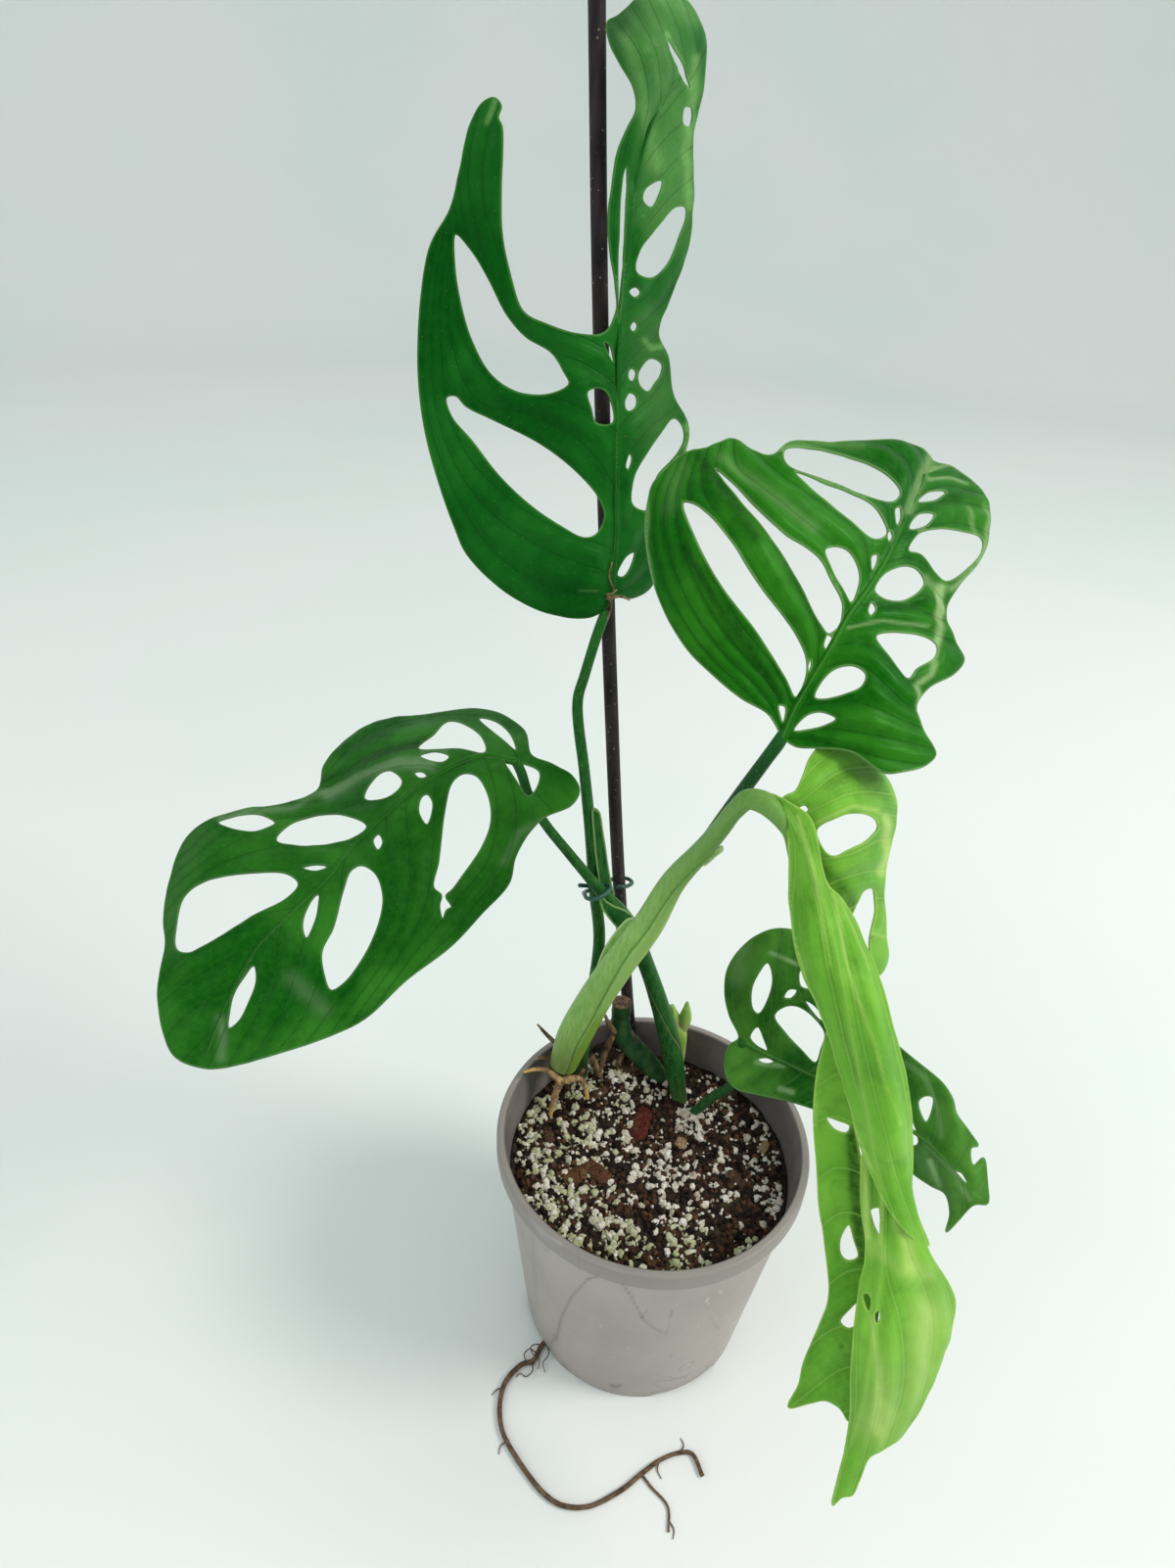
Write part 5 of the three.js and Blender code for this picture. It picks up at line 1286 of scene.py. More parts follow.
def leaf_finish(name, deep, fresh, vein_tone, pale, under_tone, groove, line, rim, gloss):
    """Leaf skin: mottled green, side veins with painted shade in their grooves and a painted highlight on
    the swells between them, finer veins along them, the tints as pale lines, painted highlights and painted
    shade, and a fine pale margin.
    """
    finish, tree, shader = new_finish(name, gloss=gloss, soft=0.05, shine=(0.35, 1, 0.4))
    vein, gap, rib = own(tree, "vein"), own(tree, "gap"), own(tree, "rib")
    skin = mixed(tree, between(tree, grain(tree, 26, 4, bend=0.6), 0.35, 0.65), deep, fresh)
    mottle = maths(tree, "MULTIPLY", between(tree, grain(tree, 130, 5, bend=0.8), 0.45, 0.7), 0.35)
    skin = mixed(tree, mottle, skin, tuple(0.6 * part for part in deep))
    between_veins = maths(tree, "PINGPONG", vein, 0.5)
    # Painted shade in the grooves along the side veins and a painted highlight on the swells between them;
    # groove sets their strength.
    groove_shade = maths(tree, "MULTIPLY", between(tree, between_veins, 0.22, 0.0), groove)
    skin = mixed(tree, groove_shade, skin, tuple(0.45 * part for part in deep))
    crest_highlight = maths(tree, "MULTIPLY", between(tree, between_veins, 0.25, 0.5), groove)
    skin = tinted(tree, skin, crest_highlight, 0.6, fresh)
    # The tints: lighter where positive, as pale margins and veins and painted highlights, and darker where
    # negative, mostly as painted shade.
    tint = own(tree, "tint")
    skin = mixed(tree, between(tree, tint, 0.0, 1.0), skin, pale)
    skin = mixed(tree, between(tree, tint, 0.0, -1.0), skin, tuple(0.25 * part for part in deep))
    from_vein = maths(tree, "MULTIPLY", between_veins, gap)
    vein_line = between(tree, from_vein, 0.42, 0.12)
    fine = maths(tree, "PINGPONG", maths(tree, "MULTIPLY", vein, 5), 0.5)
    from_fine = maths(tree, "MULTIPLY", maths(tree, "MULTIPLY", fine, gap), 0.2)
    fine_line = between(tree, from_fine, 0.26, 0.06)
    skin = tinted(tree, skin, fine_line, 0.25 * line, vein_tone)
    skin = tinted(tree, skin, vein_line, line, vein_tone)
    rib_line = between(tree, rib, 1.3, 0.5)
    skin = tinted(tree, skin, rib_line, 0.7 * line, vein_tone)
    skin = tinted(tree, skin, between(tree, rib, 0.45, 0.2), 0.22, pale)
    fleck = between(tree, grain(tree, 520, 2), 0.3, 0.7)
    skin = tinted(tree, skin, fleck, 0.22, fresh)
    scars = maths(tree, "MULTIPLY", specks(tree, 150, 0.05), between(tree, grain(tree, 30, 2), 0.5, 0.62))
    skin = tinted(tree, skin, scars, 0.7, (0.26, 0.17, 0.08))
    dust = maths(tree, "MULTIPLY", specks(tree, 700, 0.1), 0.4)
    skin = mixed(tree, dust, skin, (0.4, 0.45, 0.3))
    margin = between(tree, own(tree, "edge"), 0.55, 0.1)
    skin = tinted(tree, skin, margin, rim, pale)
    skin = tinted(tree, skin, own(tree, "under"), 0.85, under_tone)
    sheen = maths(tree, "MULTIPLY_ADD", grain(tree, 120, 4), 0.3, 0.26)
    fine_depth = maths(tree, "MULTIPLY", fine_line, -0.15)
    height = maths(tree, "MULTIPLY_ADD", grain(tree, 420, 4), 0.45, fine_depth)
    height = maths(tree, "SUBTRACT", height, maths(tree, "MULTIPLY", vein_line, 0.4))
    set_surface(tree, shader, skin, sheen, height, 0.0003, 0.55)
    return finish


# Leaf 1 stands highest, in front of the stake. Its left half is broad and its right half is turned
# away to the back.
leaf_one = read_leaf("""
sheet
outline 618,622 598,631 560,626 528,612 502,593 476,565 464,538 450,499 434,440 427,380 430,303 440,249
 459,215 468,180 480,128 492,106 505,100 512,108 509,120 513,130 512,191 513,239 523,287 535,318 559,331
 591,341 616,340 630,318 628,290 621,240 623,200 632,150 649,112 646,88 633,65 622,42 621,22 634,14
 648,2 668,-12 690,-8 706,8 720,38 719,75 714,110 708,135 708,200 703,250 688,295 672,340 682,365
 687,402 703,436 700,462 690,500 676,560 664,600 645,611 628,608
hole 465,239 480,254 498,283 518,322 537,344 563,360 576,380 581,392 558,403 528,400 502,383 482,348
 469,303 464,265
hole 456,406 465,404 476,415 502,428 543,448 573,468 599,492 611,508 617,528 608,546 596,549 574,538
 543,517 510,486 482,450 461,425
hole 600,400 612,396 622,404 626,432 609,432 604,418
hole 617,349 623,353 627,370 621,362
hole 632,330 640,170 636,180 633,215
hole 651,383 664,366 676,372 674,383 668,392 662,400 654,395
hole 645,512 648,485 660,463 676,440 688,427 697,436 698,452 686,470 672,485 664,505 660,521 650,519
hole 650,278 652,258 668,236 690,211 700,212 694,240 681,270 665,284
hole 657,205 660,192 676,184 672,200 665,212
hole 699,109 706,110 704,130 697,126
hole 682,38 691,54 700,72 704,90 698,82 688,62
hole 643,334 647,328 651,333 647,339
hole 643,298 649,293 654,299 648,304
hole 641,385 644,376 649,380 645,390
hole 638,412 643,401 650,406 648,417 641,420
hole 639,476 643,463 645,468 641,480
hole 631,588 638,570 648,564 644,578 636,589
depths 622,616,330 629,500,317 631,402,304 634,300,292 648,175,279 668,100,270 560,628,331 500,595,325
 464,538,316 433,428,300 430,303,286 465,204,273 505,105,262 540,450,308 540,330,290 664,602,345
 700,440,328 686,395,322 672,345,314 702,250,304 708,190,298 712,120,290 625,30,262 650,50,256
 668,-5,262 716,50,280
left 622,608 560,600 505,565 468,512 442,445 432,380 434,310 446,250
left 622,585 560,560 510,528 473,488 448,430 440,370 445,300 455,245
left 618,560 585,548 545,530 505,500 475,465 452,410 450,350 455,290 460,240
left 625,490 600,455 550,420 500,400 470,370 458,330
left 626,440 590,418 545,407 500,392 475,355 460,315 458,270
left 628,392 600,368 570,350 540,330 515,295 495,255 480,210 478,170 490,120
left 630,365 600,352 560,340 530,318 510,270 497,215 495,165 500,120
left 634,320 628,280 626,230 632,180 642,140 652,110
left 650,190 655,130 660,90 650,50 635,30
right 624,605 640,600 655,590 664,570
right 626,590 640,580 655,560 662,530
right 628,545 645,530 660,505 680,480 697,462
right 628,500 636,470 650,450 670,425 690,415
right 630,440 645,425 665,410 680,385
right 631,395 640,370 650,360 665,345
right 632,350 650,335 670,315 683,295 695,265
right 634,318 650,312 668,295 690,262 703,235
right 638,275 643,265 650,240 665,215 690,195 706,180
right 645,225 655,215 668,190 690,165 707,150
right 652,180 670,150 690,130 708,118
right 662,135 685,100 705,80 716,60
right 675,105 690,75 700,30 700,5
tint 0.45,40 668,20 680,90 690,150 682,230
tint 0.3,30 665,330 668,400 678,470
tint 0.35,8 640,40 650,90 662,130 668,170
tint 0.9,2 680,35 692,60 703,88
tint 0.5,5 709,60 706,100 700,150 702,210
tint 0.4,3 657,347 664,356 676,353
tint 0.35,2 592,603 610,603
tint 0.6,3 700,434 704,446 700,462
tint 0.35,10 668,-5 690,0 708,20
tint -0.5,7 646,240 652,270 646,300
tint -0.45,9 520,240 537,322 590,338
tint -0.4,10 476,415 543,455 599,500
tint 0.6,3.5 506,104 503,114 498,126
midrib 621,618 628,555 629,500 631,402 633,330 640,255 652,170 672,110 694,80
radii 1.9 1.6 1.4 1.2 1.1 0.9 0.8 0.7 0.6
""")
leaf_one_skin = {
    "deep": (0.001, 0.072, 0.004), "fresh": (0.01, 0.125, 0.012), "vein_tone": (0.001, 0.05, 0.004),
    "pale": (0.14, 0.32, 0.09), "under_tone": (0.06, 0.2, 0.05), "groove": 0.15, "line": 0.25,
    "rim": 0.3, "gloss": 0.12,
}

# Leaf 2 faces forward on the right. It is strongly pleated, and its right margin curls.
leaf_two = read_leaf("""
sheet
outline 799,752 792,740 783,728 757,713 730,691 702,663 680,628 667,592 660,554 660,523 666,497 679,479
 699,463 720,458 748,448 768,460 788,465 806,452 850,452 883,450 920,451 940,457 953,471 972,477 998,496
 1009,514 1009,550 998,575 976,602 966,628 974,652 984,674 974,688 949,702 936,720 944,748 955,770
 946,781 922,788 902,789 870,768 834,764 812,762
hole 698,513 712,517 741,545 774,595 812,647 823,672 823,692 813,712 801,691 772,645 737,599 712,554
hole 731,480 745,491 774,521 801,546 835,569 848,592 861,621 857,640 846,647 837,636 818,600 784,545
 752,507
hole 842,562 853,558 867,565 877,586 876,604 870,615 859,600 848,580
hole 801,460 820,458 875,470 905,485 919,503 911,513 890,508 845,491 803,474
hole 812,483 850,497 889,514 900,527 906,545 894,551 867,531 838,508
hole 913,520 919,518 921,528 917,536
hole 906,546 910,541 912,548 908,553
hole 890,568 897,566 896,576 892,582
hole 886,625 890,615 894,622 889,629
hole 842,660 845,648 850,650 846,664
hole 825,680 828,673 829,680 826,686
hole 795,720 802,722 800,738 797,732
hole 939,512 949,502 965,503 955,511
hole 929,540 938,525 953,526 946,537
hole 927,562 938,545 957,540 976,542 1001,549 1002,562 987,581 966,594 955,585 940,566
hole 894,603 905,585 924,578 937,583 944,596 924,613 904,612
hole 894,650 911,646 945,651 955,660 953,672 935,684 928,693 908,670
hole 832,712 839,696 853,683 872,680 884,689 880,701 863,709 840,714
hole 811,746 823,731 838,727 854,734 842,741 826,745
depths 799,752,265 828,696,264 867,628,266 908,565,272 935,515,279 946,480,286 757,713,263 702,663,260
 665,592,262 660,523,265 680,479,268 716,459,268 760,456,268 740,570,252 800,610,256 790,520,258
 850,520,265 810,455,270 880,452,280 940,457,290 834,765,264 904,787,260 953,770,266 940,718,268
 984,674,282 968,628,282 998,575,296 1008,515,304 972,477,300 900,705,262 960,560,284
left 800,745 785,715 750,680 715,635 690,585 678,530 685,490 700,470
left 805,735 780,690 740,640 710,580 695,530 692,500
left 808,725 795,695 760,650 725,595 705,545 700,505
left 822,700 815,660 790,610 760,560 730,515 713,485 715,470 735,458
left 830,690 835,650 812,600 785,555 755,510 730,480 725,472
left 868,625 862,570 835,540 800,515 765,490 745,470 738,455
left 885,598 885,560 850,525 815,495 785,470 770,455
left 905,560 912,530 890,510 850,492 805,475 795,465
left 925,530 925,500 905,475 870,460 830,452 810,448
left 930,515 935,490 920,468 895,455 870,448
left 940,490 945,475 940,462
right 800,752 830,755 870,765 910,778 940,780
right 806,740 840,745 880,750 920,757 950,765
right 815,722 850,718 890,722 925,735 943,745
right 838,680 870,670 895,685 920,705 935,720
right 850,665 880,660 895,672 920,700 932,715
right 870,635 900,632 935,636 960,645 975,655
right 878,620 910,622 940,625 963,635
right 905,572 925,568 940,575 952,592 957,605 962,625
right 925,545 945,538 970,535 1000,540
right 925,530 940,520 965,515 1000,515
right 932,512 945,500 970,495 1000,505
right 940,495 960,485 990,493
right 945,480 965,478 975,482
tint 0.3,5 800,456 850,454 880,458
tint 0.55,7 948,470 938,495 928,522
tint 0.7,2.5 951,480 970,475 986,483
tint 0.7,2.5 950,489 968,489 986,496
tint -0.5,2.5 952,484 970,482 984,489
tint 0.6,4 1000,508 1008,525 1007,550 996,579 970,602
tint -0.45,8 965,510 985,504 1001,510
tint 0.5,3 986,520 996,548
tint -0.45,7 895,620 920,622 945,612
tint 0.55,2.5 866,641 900,634 945,640
tint 0.75,5 960,600 957,625 958,650
tint 0.7,4 955,655 948,690 935,700 938,722 948,750
tint -0.35,8 895,460 915,470 925,485
tint 0.5,5 945,590 955,605 958,625
tint 0.55,3 661,500 662,530 661,560 668,595
tint 0.22,12 700,475 690,490 684,520
tint -0.6,9 716,470 740,505 770,550
tint -0.6,7 700,560 730,610 765,660 795,710
tint -0.5,7 795,560 815,600 840,650
tint 0.3,9 735,470 780,500 830,540
swell 2.2
midrib 799,754 812,724 828,696 848,663 867,628 889,597 908,565 924,532 944,485
radii 1.9 1.8 1.6 1.5 1.4 1.2 1 0.8 0.6
""")
leaf_two_skin = {
    "deep": (0.001, 0.09, 0.001), "fresh": (0.027, 0.18, 0.009), "vein_tone": (0.001, 0.06, 0.001),
    "pale": (0.28, 0.43, 0.18), "under_tone": (0.08, 0.24, 0.05), "groove": 0.32, "line": 0.2,
    "rim": 0.38, "gloss": 0.12,
}

# Leaf 3 reaches out to the left. Its near half hangs and its far basal lobe folds up behind.
leaf_three = read_leaf("""
sheet
outline 324,807 331,781 354,755 386,737 440,729 486,724 515,731 536,747 543,771 565,781 584,792 592,807
 584,822 556,835 537,855 526,877 520,902 492,933 461,966 415,1001 373,1040 339,1057 293,1073 223,1091
 200,1089 180,1080 169,1061 161,1021 163,994 169,965 167,939 174,896 187,860 207,841 241,828 287,821
hole 181,940 189,915 210,900 253,892 293,893 305,903 293,917 262,933 235,950 204,968 192,973 181,970
hole 282,858 299,841 330,832 360,835 374,843 358,856 330,863 298,863
hole 223,840 244,833 267,833 281,841 256,849
hole 372,815 385,793 398,787 411,798 402,811 386,817
hole 429,772 443,768 459,773 452,779 437,776
hole 423,789 430,788 436,792 428,794
hole 427,764 444,750 458,736 477,741 492,753 496,767 470,765
hole 489,734 506,737 521,750 527,766 514,756
hole 515,774 538,781 551,789 548,805 539,813 527,797
hole 462,799 472,790 487,793 499,814 501,840 492,865 473,893 462,908 455,915 461,926 456,929 452,938
 449,925 451,914 443,906 448,880 454,830
hole 430,815 436,811 442,820 436,842 428,830
hole 381,858 387,852 391,860 386,868
hole 352,905 359,889 370,884 384,893 391,915 387,942 372,976 351,1004 338,1011 331,995 329,972 341,946
hole 309,945 316,922 325,913 324,932 313,958
hole 309,886 322,883 334,885 322,889
hole 234,1050 237,1020 247,1001 259,986 262,999 254,1024 243,1044
depths 522,775,340 446,792,334 391,835,326 336,896,318 262,969,309 226,1037,302 205,1088,296 526,877,330
 492,933,321 461,966,315 415,1001,308 339,1057,300 288,1073,297 169,1061,300 163,994,308 172,900,322
 207,841,332 290,822,344 330,805,350 354,755,364 386,737,368 446,729,371 490,726,368 536,748,356
 590,807,342 558,833,337 320,850,333 430,750,356 480,870,325
left 530,782 548,812 560,825 575,825
left 515,780 525,820 520,860 510,890 490,915 470,935
left 500,778 510,820 508,860 495,890 470,920 455,945
left 440,797 440,850 435,900 425,940 400,985 375,1020
left 415,815 415,860 418,910 405,955 380,1000 350,1035
left 395,835 400,880 398,930 380,980 355,1015 325,1050
left 345,885 345,930 325,975 318,1010 305,1050
left 320,912 315,960 300,1005 280,1045 262,1070
left 285,948 280,990 265,1035 245,1070
left 250,990 238,1030 225,1060 215,1085
right 525,772 520,752 505,740 480,730 440,733 390,745 350,770 330,800
right 470,775 440,762 400,767 370,778 345,797 330,810
right 455,785 430,780 400,783 370,795 345,812
right 405,820 375,822 340,826 300,832 270,840 240,860 210,880 190,905
right 385,840 360,868 320,872 270,873 225,885 195,900 178,930
right 350,880 320,880 275,885 230,893 190,915 172,950
right 300,930 275,935 235,955 205,970 175,990
right 270,960 235,975 200,995 170,1020
right 240,1010 210,1025 180,1045 170,1060
right 222,1045 205,1065 190,1080
tint 0.75,8 335,812 370,790 410,778 440,780
tint 0.5,5 330,806 300,826 260,829 225,836
tint -0.7,7 330,800 360,786 400,768 440,757
tint 0.45,4 540,750 545,766 560,775
tint 0.4,6 515,880 530,850 556,838
tint 0.5,7 225,1040 228,1060 226,1080
tint 0.35,12 300,1000 330,1030
tint 0.25,26 200,850 178,900 172,960
tint 0.2,20 330,765 300,790 250,815
swell 0.9
midrib 528,778 492,773 446,792 415,813 391,835 360,865 336,896 305,926 262,969 226,1037 210,1080
radii 1.8 1.8 1.7 1.6 1.5 1.4 1.3 1.2 1 0.8 0.6
""")
leaf_three_skin = {
    "deep": (0.002, 0.072, 0.002), "fresh": (0.03, 0.165, 0.014), "vein_tone": (0.001, 0.045, 0.002),
    "pale": (0.16, 0.26, 0.13), "under_tone": (0.06, 0.16, 0.05), "groove": 0.15, "line": 0.28,
    "rim": 0.35, "gloss": 0.12,
}

# Leaf 4 is young and bent over at the top of its stalk: a strap in front, the upper lobes behind
# it, a left part and the pointed end, which hang.
leaf_four = read_leaf("""
sheet
outline 786,811 798,815 812,823 825,832 832,846 836,866 841,890 847,905 859,917 871,935 882,960 893,985
 903,1013 912,1048 922,1085 929,1125 932,1170 931,1205 936,1238 948,1272 930,1262 911,1240 895,1212
 881,1178 868,1130 853,1080 836,1030 820,995 811,960 806,915 806,870 804,852 797,838 785,828
depths 800,828,258 815,835,256 806,900,260 828,900,254 850,912,259 830,1000,257 860,990,252 893,985,258
 855,1080,262 888,1075,254 922,1085,262 880,1170,267 908,1165,260 931,1170,267 915,1235,267 934,1235,270
 945,1270,272
vein 790,822 804,835 811,860 808,900 811,960 822,995 838,1030 855,1080 870,1130 883,1178
vein 800,820 815,840 828,870 833,900 840,940 848,990 858,1050 868,1100 885,1160 900,1205
vein 815,826 830,850 840,895 850,920 858,960 868,1000 880,1060 895,1120 910,1180 925,1230
vein 828,836 838,870 846,900 862,922 880,960 900,1015 918,1085 930,1150 931,1205
tint 0.7,2.2 815,833 829,880 836,918 840,943 848,985
tint 0.65,2.5 840,880 851,918 857,943 863,977 874,1015 891,1061 903,1108 916,1146
tint -0.4,4 829,918 848,994 863,1061 880,1110
tint -0.35,4 870,977 884,1028 899,1078 912,1142
tint 0.7,2 806,858 808,943 827,1011 848,1070 870,1142 891,1197
tint 0.5,2.5 857,918 870,951 886,990
tint -0.2,8 815,900 822,960 840,1030 862,1090
swell 1.6
sheet
outline 796,820 803,812 812,808 820,792 826,776 835,764 850,758 868,762 886,773 900,787 910,803 916,822
 913,848 907,872 903,895 903,925 905,955 907,975 903,990 896,997 889,980 889,955 893,930 891,907 882,910
 875,922 868,935 856,925 846,903 838,880 831,855 822,838 806,832
hole 815,826 822,822 826,827 820,831
hole 834,847 852,836 874,830 890,834 895,845 887,857 868,867 853,874 844,871
depths 800,824,259 822,838,260 835,764,266 850,800,260 868,762,272 900,787,276 880,812,264 916,822,282
 905,885,286 846,900,266 868,932,272 870,890,268 903,955,288 897,995,286
vein 806,830 815,822 830,810 850,790 875,783 895,785
vein 812,832 830,830 850,818 880,812 905,812
vein 822,838 835,846 860,830 890,826 913,835
vein 838,875 860,880 885,868 905,850
vein 846,903 862,893 885,888 905,888
vein 868,932 885,915 905,920
vein 890,960 898,955 906,955
tint 0.7,4 830,768 850,760 880,768 905,795 915,820
tint 0.8,4 833,840 870,823 893,827
tint 0.95,8 903,835 905,870 898,890
tint -0.3,12 850,800 870,790 890,800
tint -0.45,7 858,905 870,925
tint 0.7,3 890,952 903,957
tint -0.8,2.5 881,945 888,958
wash -0.22
sheet
outline 846,1052 839,1075 833,1105 831,1150 834,1185 836,1225 841,1260 846,1300 846,1328 838,1350
 828,1373 820,1393 816,1413 805,1437 826,1433 843,1430 857,1437 867,1452 874,1450 884,1420 893,1370
 898,1330 902,1300 896,1265 887,1235 880,1190 873,1150 866,1110 858,1075
hole 844,1141 856,1144 868,1149 865,1156 852,1153
hole 858,1265 867,1250 872,1265 876,1284 866,1287 859,1281
hole 858,1349 866,1338 879,1328 884,1339 878,1350 867,1356
depths 846,1052,276 833,1105,281 866,1110,277 832,1180,285 880,1190,279 843,1290,286 890,1240,278
 902,1300,278.5 893,1370,280 882,1430,283 820,1395,294 805,1437,298 845,1432,290 860,1340,284
 872,1450,285
vein 862,1090 850,1100 838,1105 833,1115
vein 872,1150 855,1140 842,1135 832,1150
vein 880,1200 862,1190 845,1195 834,1210
vein 888,1250 870,1235 852,1240 838,1255
vein 896,1300 878,1295 860,1300 845,1315
vein 888,1360 868,1350 845,1360 830,1372
vein 884,1395 870,1392 845,1408 815,1430
vein 878,1440 868,1438
tint -0.75,6 870,1155 873,1200 876,1240 880,1285
tint 0.35,12 845,1160 840,1220 850,1290
tint 0.4,10 850,1380 835,1410
tint 0.8,3 836,1060 832,1110 833,1150
tint -0.9,2 860,1372 860,1373
wash -0.26
sheet
outline 936,1242 950,1280 967,1308 975,1328 971,1358 963,1385 951,1415 936,1444 920,1467 903,1479
 888,1487 877,1513 870,1527 860,1528 850,1537 858,1500 864,1475 868,1445 869,1400 873,1350 878,1310
 883,1288 884,1264 880,1240 879,1205 882,1176 889,1176 900,1197 913,1217 926,1233
hole 889,1235 899,1234 899,1250 898,1262 893,1253 890,1243
hole 881,1322 886,1320 890,1331 887,1340
hole 893,1341 898,1338 899,1349 895,1352
depths 936,1245,270.5 881,1240,274 885,1180,271.5 912,1220,271.5 950,1280,273 975,1328,284 963,1385,284
 930,1450,286 925,1350,273 900,1300,271 880,1300,274 872,1360,274 869,1420,279 895,1400,274 895,1430,278
 868,1470,286 900,1478,287 852,1535,292 875,1515,290
vein 884,1180 882,1240 880,1290 876,1350 874,1420 870,1470
vein 892,1200 890,1250 888,1300 890,1345 897,1400 895,1440 880,1490
vein 905,1220 903,1270 905,1305 915,1330 922,1380 922,1420 908,1460
vein 925,1240 930,1275 948,1320 952,1370 942,1415
vein 938,1250 952,1285 970,1330
tint 0.35,10 890,1272 915,1296 945,1300
tint 0.55,26 945,1345 930,1400 900,1450
tint 0.8,4 882,1170 884,1215 886,1262
tint -0.35,9 900,1300 915,1330 922,1380 918,1430
tint 0.5,4 890,1345 897,1400 895,1460
tint -0.8,2.5 907,1228 903,1268
tint 0.7,3 901,1220 903,1250 900,1268
tint 0.6,8 918,1245 925,1262 930,1290
wash 0.1
swell 1.3
midrib 799,826,258.5 816,850,261 838,910,266 858,990,270 875,1080,274 892,1170,277 901,1230,278
 901,1290,278.5 893,1350,280 882,1430,283 868,1475,286.5
radii 1.8 1.6 1.5 1.4 1.4 1.3 1.2 1.1 1 0.8 0.6
""")
leaf_four_skin = {
    "deep": (0.1, 0.32, 0.022), "fresh": (0.185, 0.455, 0.045), "vein_tone": (0.3, 0.54, 0.1),
    "pale": (0.42, 0.6, 0.15), "under_tone": (0.22, 0.42, 0.07), "groove": 0.22, "line": 0.32,
    "rim": 0.35, "gloss": 0.16,
}

# Leaf 5 is low, behind leaf 4, over the right edge of the pot. Its outer end is torn.
leaf_five = read_leaf("""
sheet
outline 754,1060 745,1037 740,1013 742,993 751,975 768,958 785,950 800,948 818,953 850,985 885,1030
 905,1056 932,1080 947,1092 963,1106 973,1122 977,1137 990,1155 999,1170 992,1172 994,1190 1004,1182
 1009,1213 1008,1229 995,1230 980,1245 966,1258 970,1239 965,1219 951,1211 932,1198 915,1180 890,1162
 866,1148 832,1133 810,1126 790,1121 770,1117 752,1112 742,1100 740,1084 745,1067
hole 784,983 789,997 786,1015 775,1035 769,1030 768,1010 775,994
hole 801,1018 806,1010 814,1011 808,1019
hole 818,990 845,1000 868,1028 872,1045 852,1035 832,1012 818,1007
hole 791,1037 801,1028 813,1027 828,1036 842,1055 838,1072 833,1085 819,1072 803,1055
hole 766,1059 774,1048 780,1061 783,1073 773,1068
hole 823,1022 832,1027 844,1044 836,1040
hole 774,1082 782,1080 790,1084 782,1086
hole 938,1125 945,1119 953,1121 946,1146
hole 930,1140 934,1150 937,1168 933,1170
hole 976,1196 982,1197 988,1208 981,1204
depths 756,1061,390 800,1080,381 850,1110,366 900,1135,350 945,1165,338 990,1210,327 740,1013,391
 768,958,385 802,948,380 790,1000,378 850,985,370 905,1056,356 947,1092,346 973,1122,340 999,1170,334
 1009,1215,328 742,1098,387 770,1117,380 832,1133,365 890,1162,350 932,1198,338 968,1256,326
left 765,1065 755,1050 748,1020 752,985
left 780,1072 785,1050 790,1020 795,985 800,955
left 812,1088 835,1100 847,1080 846,1058 830,1035 815,1015 810,990 812,960
left 870,1117 876,1095 878,1065 875,1040 855,1005 835,980
left 900,1133 905,1110 905,1085 897,1060
left 930,1155 928,1130 925,1100 920,1080
left 950,1170 958,1145 955,1115 945,1095
left 970,1192 985,1178 990,1160
right 770,1070 760,1085 748,1090 745,1098
right 790,1080 780,1095 765,1105 755,1110
right 820,1094 805,1108 790,1116 780,1119
right 850,1108 840,1120 825,1127 815,1127
right 880,1124 875,1140 865,1146
right 905,1138 905,1155 900,1165
right 930,1155 935,1175 930,1190
right 955,1175 960,1195 958,1210
right 975,1197 985,1215 985,1235
tint 0.9,2.5 787,973 800,978 815,985
tint 0.9,3 773,1085 786,1087 800,1088
tint 0.9,3.5 797,1112 810,1116
tint 0.8,2 950,1185 960,1210
tint 0.45,4 925,1085 945,1100 957,1130 962,1160
tint 0.45,3 945,1165 975,1200 990,1225
tint 0.4,12 760,970 752,1000
tint 0.35,14 940,1180 970,1225
midrib 758,1062 775,1072 800,1084 850,1108 900,1135 945,1165 985,1208
radii 1.7 1.6 1.5 1.3 1.1 0.9 0.6
""")
leaf_five_skin = {
    "deep": (0.004, 0.076, 0.004), "fresh": (0.075, 0.23, 0.028), "vein_tone": (0.1, 0.22, 0.08),
    "pale": (0.2, 0.34, 0.15), "under_tone": (0.07, 0.17, 0.05), "groove": 0.2, "line": 0.25,
    "rim": 0.35, "gloss": 0.14,
}

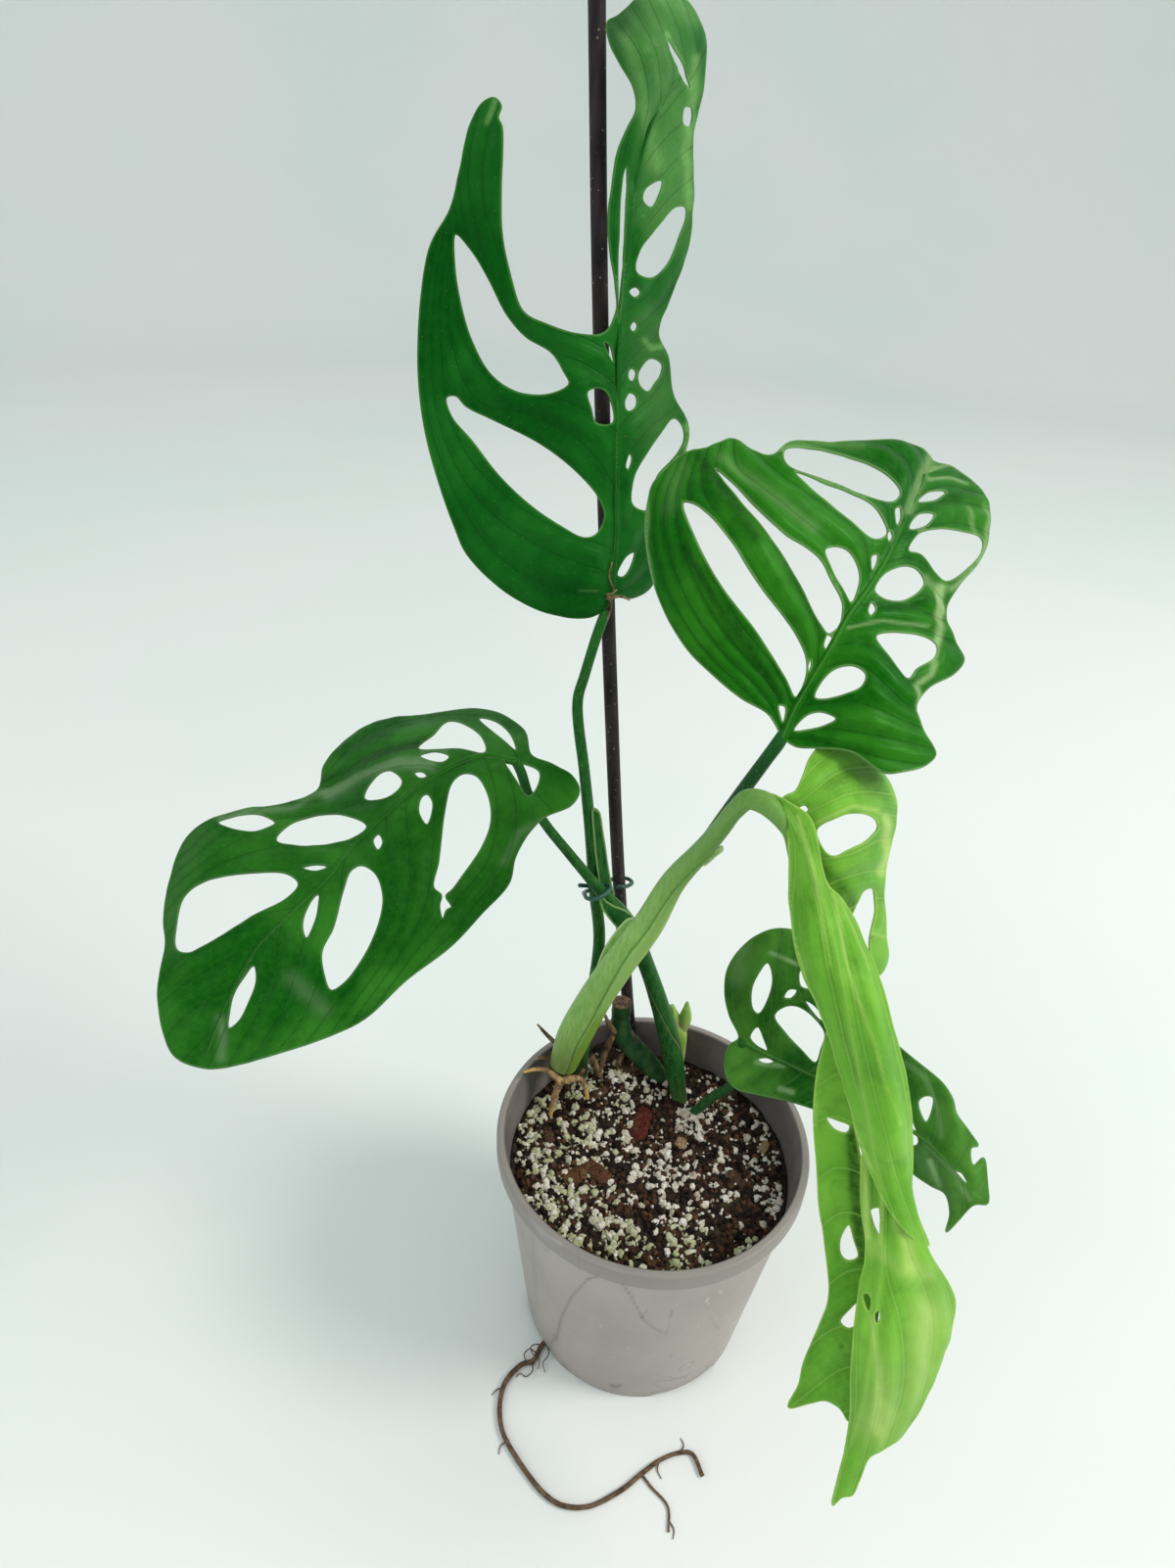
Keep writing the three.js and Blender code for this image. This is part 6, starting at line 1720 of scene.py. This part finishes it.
# The sheaths: thin pale-edged wings at the foot of the stalks, which clasped the next leaf as it
# grew. They spring from their stalks and end in small flaps.
sheaths = [
    ("young_stalk", "young_wing_tip", """
sheet
outline 726,871 732,867 737,865 738,869 731,875 724,881 719,884 719,879
depths 726,871,296.5 738,866,292 719,879,303 719,884,307 731,874,296.5 724,881,303
"""),
    ("young_stalk", "young_wing_behind", """
sheet
outline 642,938 634,945 625,956 616,971 609,989 603,1005 608,1008 614,995 624,978 634,962 646,948
 650,940
depths 644,938,350 623,955,359 606,989,372 601,1005,378 612,998,374 634,964,359 648,944,350
"""),
    ("leaf_stalk", "clasping_flap", """
sheet
outline 613,914 619,920 627,925 639,930 647,937 644,947 637,955 629,946 620,935 614,925
depths 614,916,364.5 628,926,365.5 646,938,372.5 637,953,374.5 616,927,364.5 630,937,367.0
"""),
    ("leaf_stalk", "tall_sheath", """
sheet
outline 606,825 612,829 616,850 620,875 624,900 627,917 620,919 613,905 609,880 606,850
depths 607,827,353.5 612,830,354.5 620,875,366 627,916,377 609,880,364.5 614,908,372 606,850,358.5
"""),
]
for slot, name, text in sheaths:
    sheet = read_leaf(text)["sheets"][0]
    young = slot == "young_stalk"
    deep, fresh = stalks[3][3:] if young else stalks[2][3:]
    wing_finish, tree, shader = new_finish(f"{name}_skin", gloss=0.14, soft=0.05, shine=(0.4, 1, 0.5))
    skin = mixed(tree, between(tree, grain(tree, 700, 4, (1, 1, 0.25)), 0.25, 0.75), deep, fresh)
    pale_edge = between(tree, own(tree, "edge"), 0.75, 0.15)
    edge_tone = (0.55, 0.66, 0.36) if young else (0.22, 0.36, 0.13)
    skin = tinted(tree, skin, pale_edge, 0.85, edge_tone)
    sheen = maths(tree, "MULTIPLY_ADD", grain(tree, 300), 0.25, 0.3)
    set_surface(tree, shader, skin, sheen, grain(tree, 800, 3), 0.0002, 0.5)
    add_stems(name, [blade_sheet(sheet, sheet["outline"][:2])], wing_finish, sharp=leaf_crease)

# The blades are set on their stalks: each one's sheets and its midrib are one piece.
leaves = [
    (leaf_one, leaf_one_skin), (leaf_two, leaf_two_skin), (leaf_three, leaf_three_skin),
    (leaf_four, leaf_four_skin), (leaf_five, leaf_five_skin),
]
for number, (leaf, skin) in enumerate(leaves, 1):
    finish = leaf_finish(f"leaf_skin_{number}", **skin)
    parts = [blade_sheet(sheet, leaf["midrib"]) for sheet in leaf["sheets"]]
    parts.append(midrib_stem(leaf))
    slot = "young_leaf" if number == 4 else "leaf"
    add_stems(f"blade_{number}", parts, finish, [f"leaf_blade_{number}"], sharp=leaf_crease)

dressed_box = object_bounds()
boxes = {"cad": cad_box, "visual": dressed_box}
sizes = {name: [[float(n) for n in corner] for corner in box] for name, box in boxes.items()}
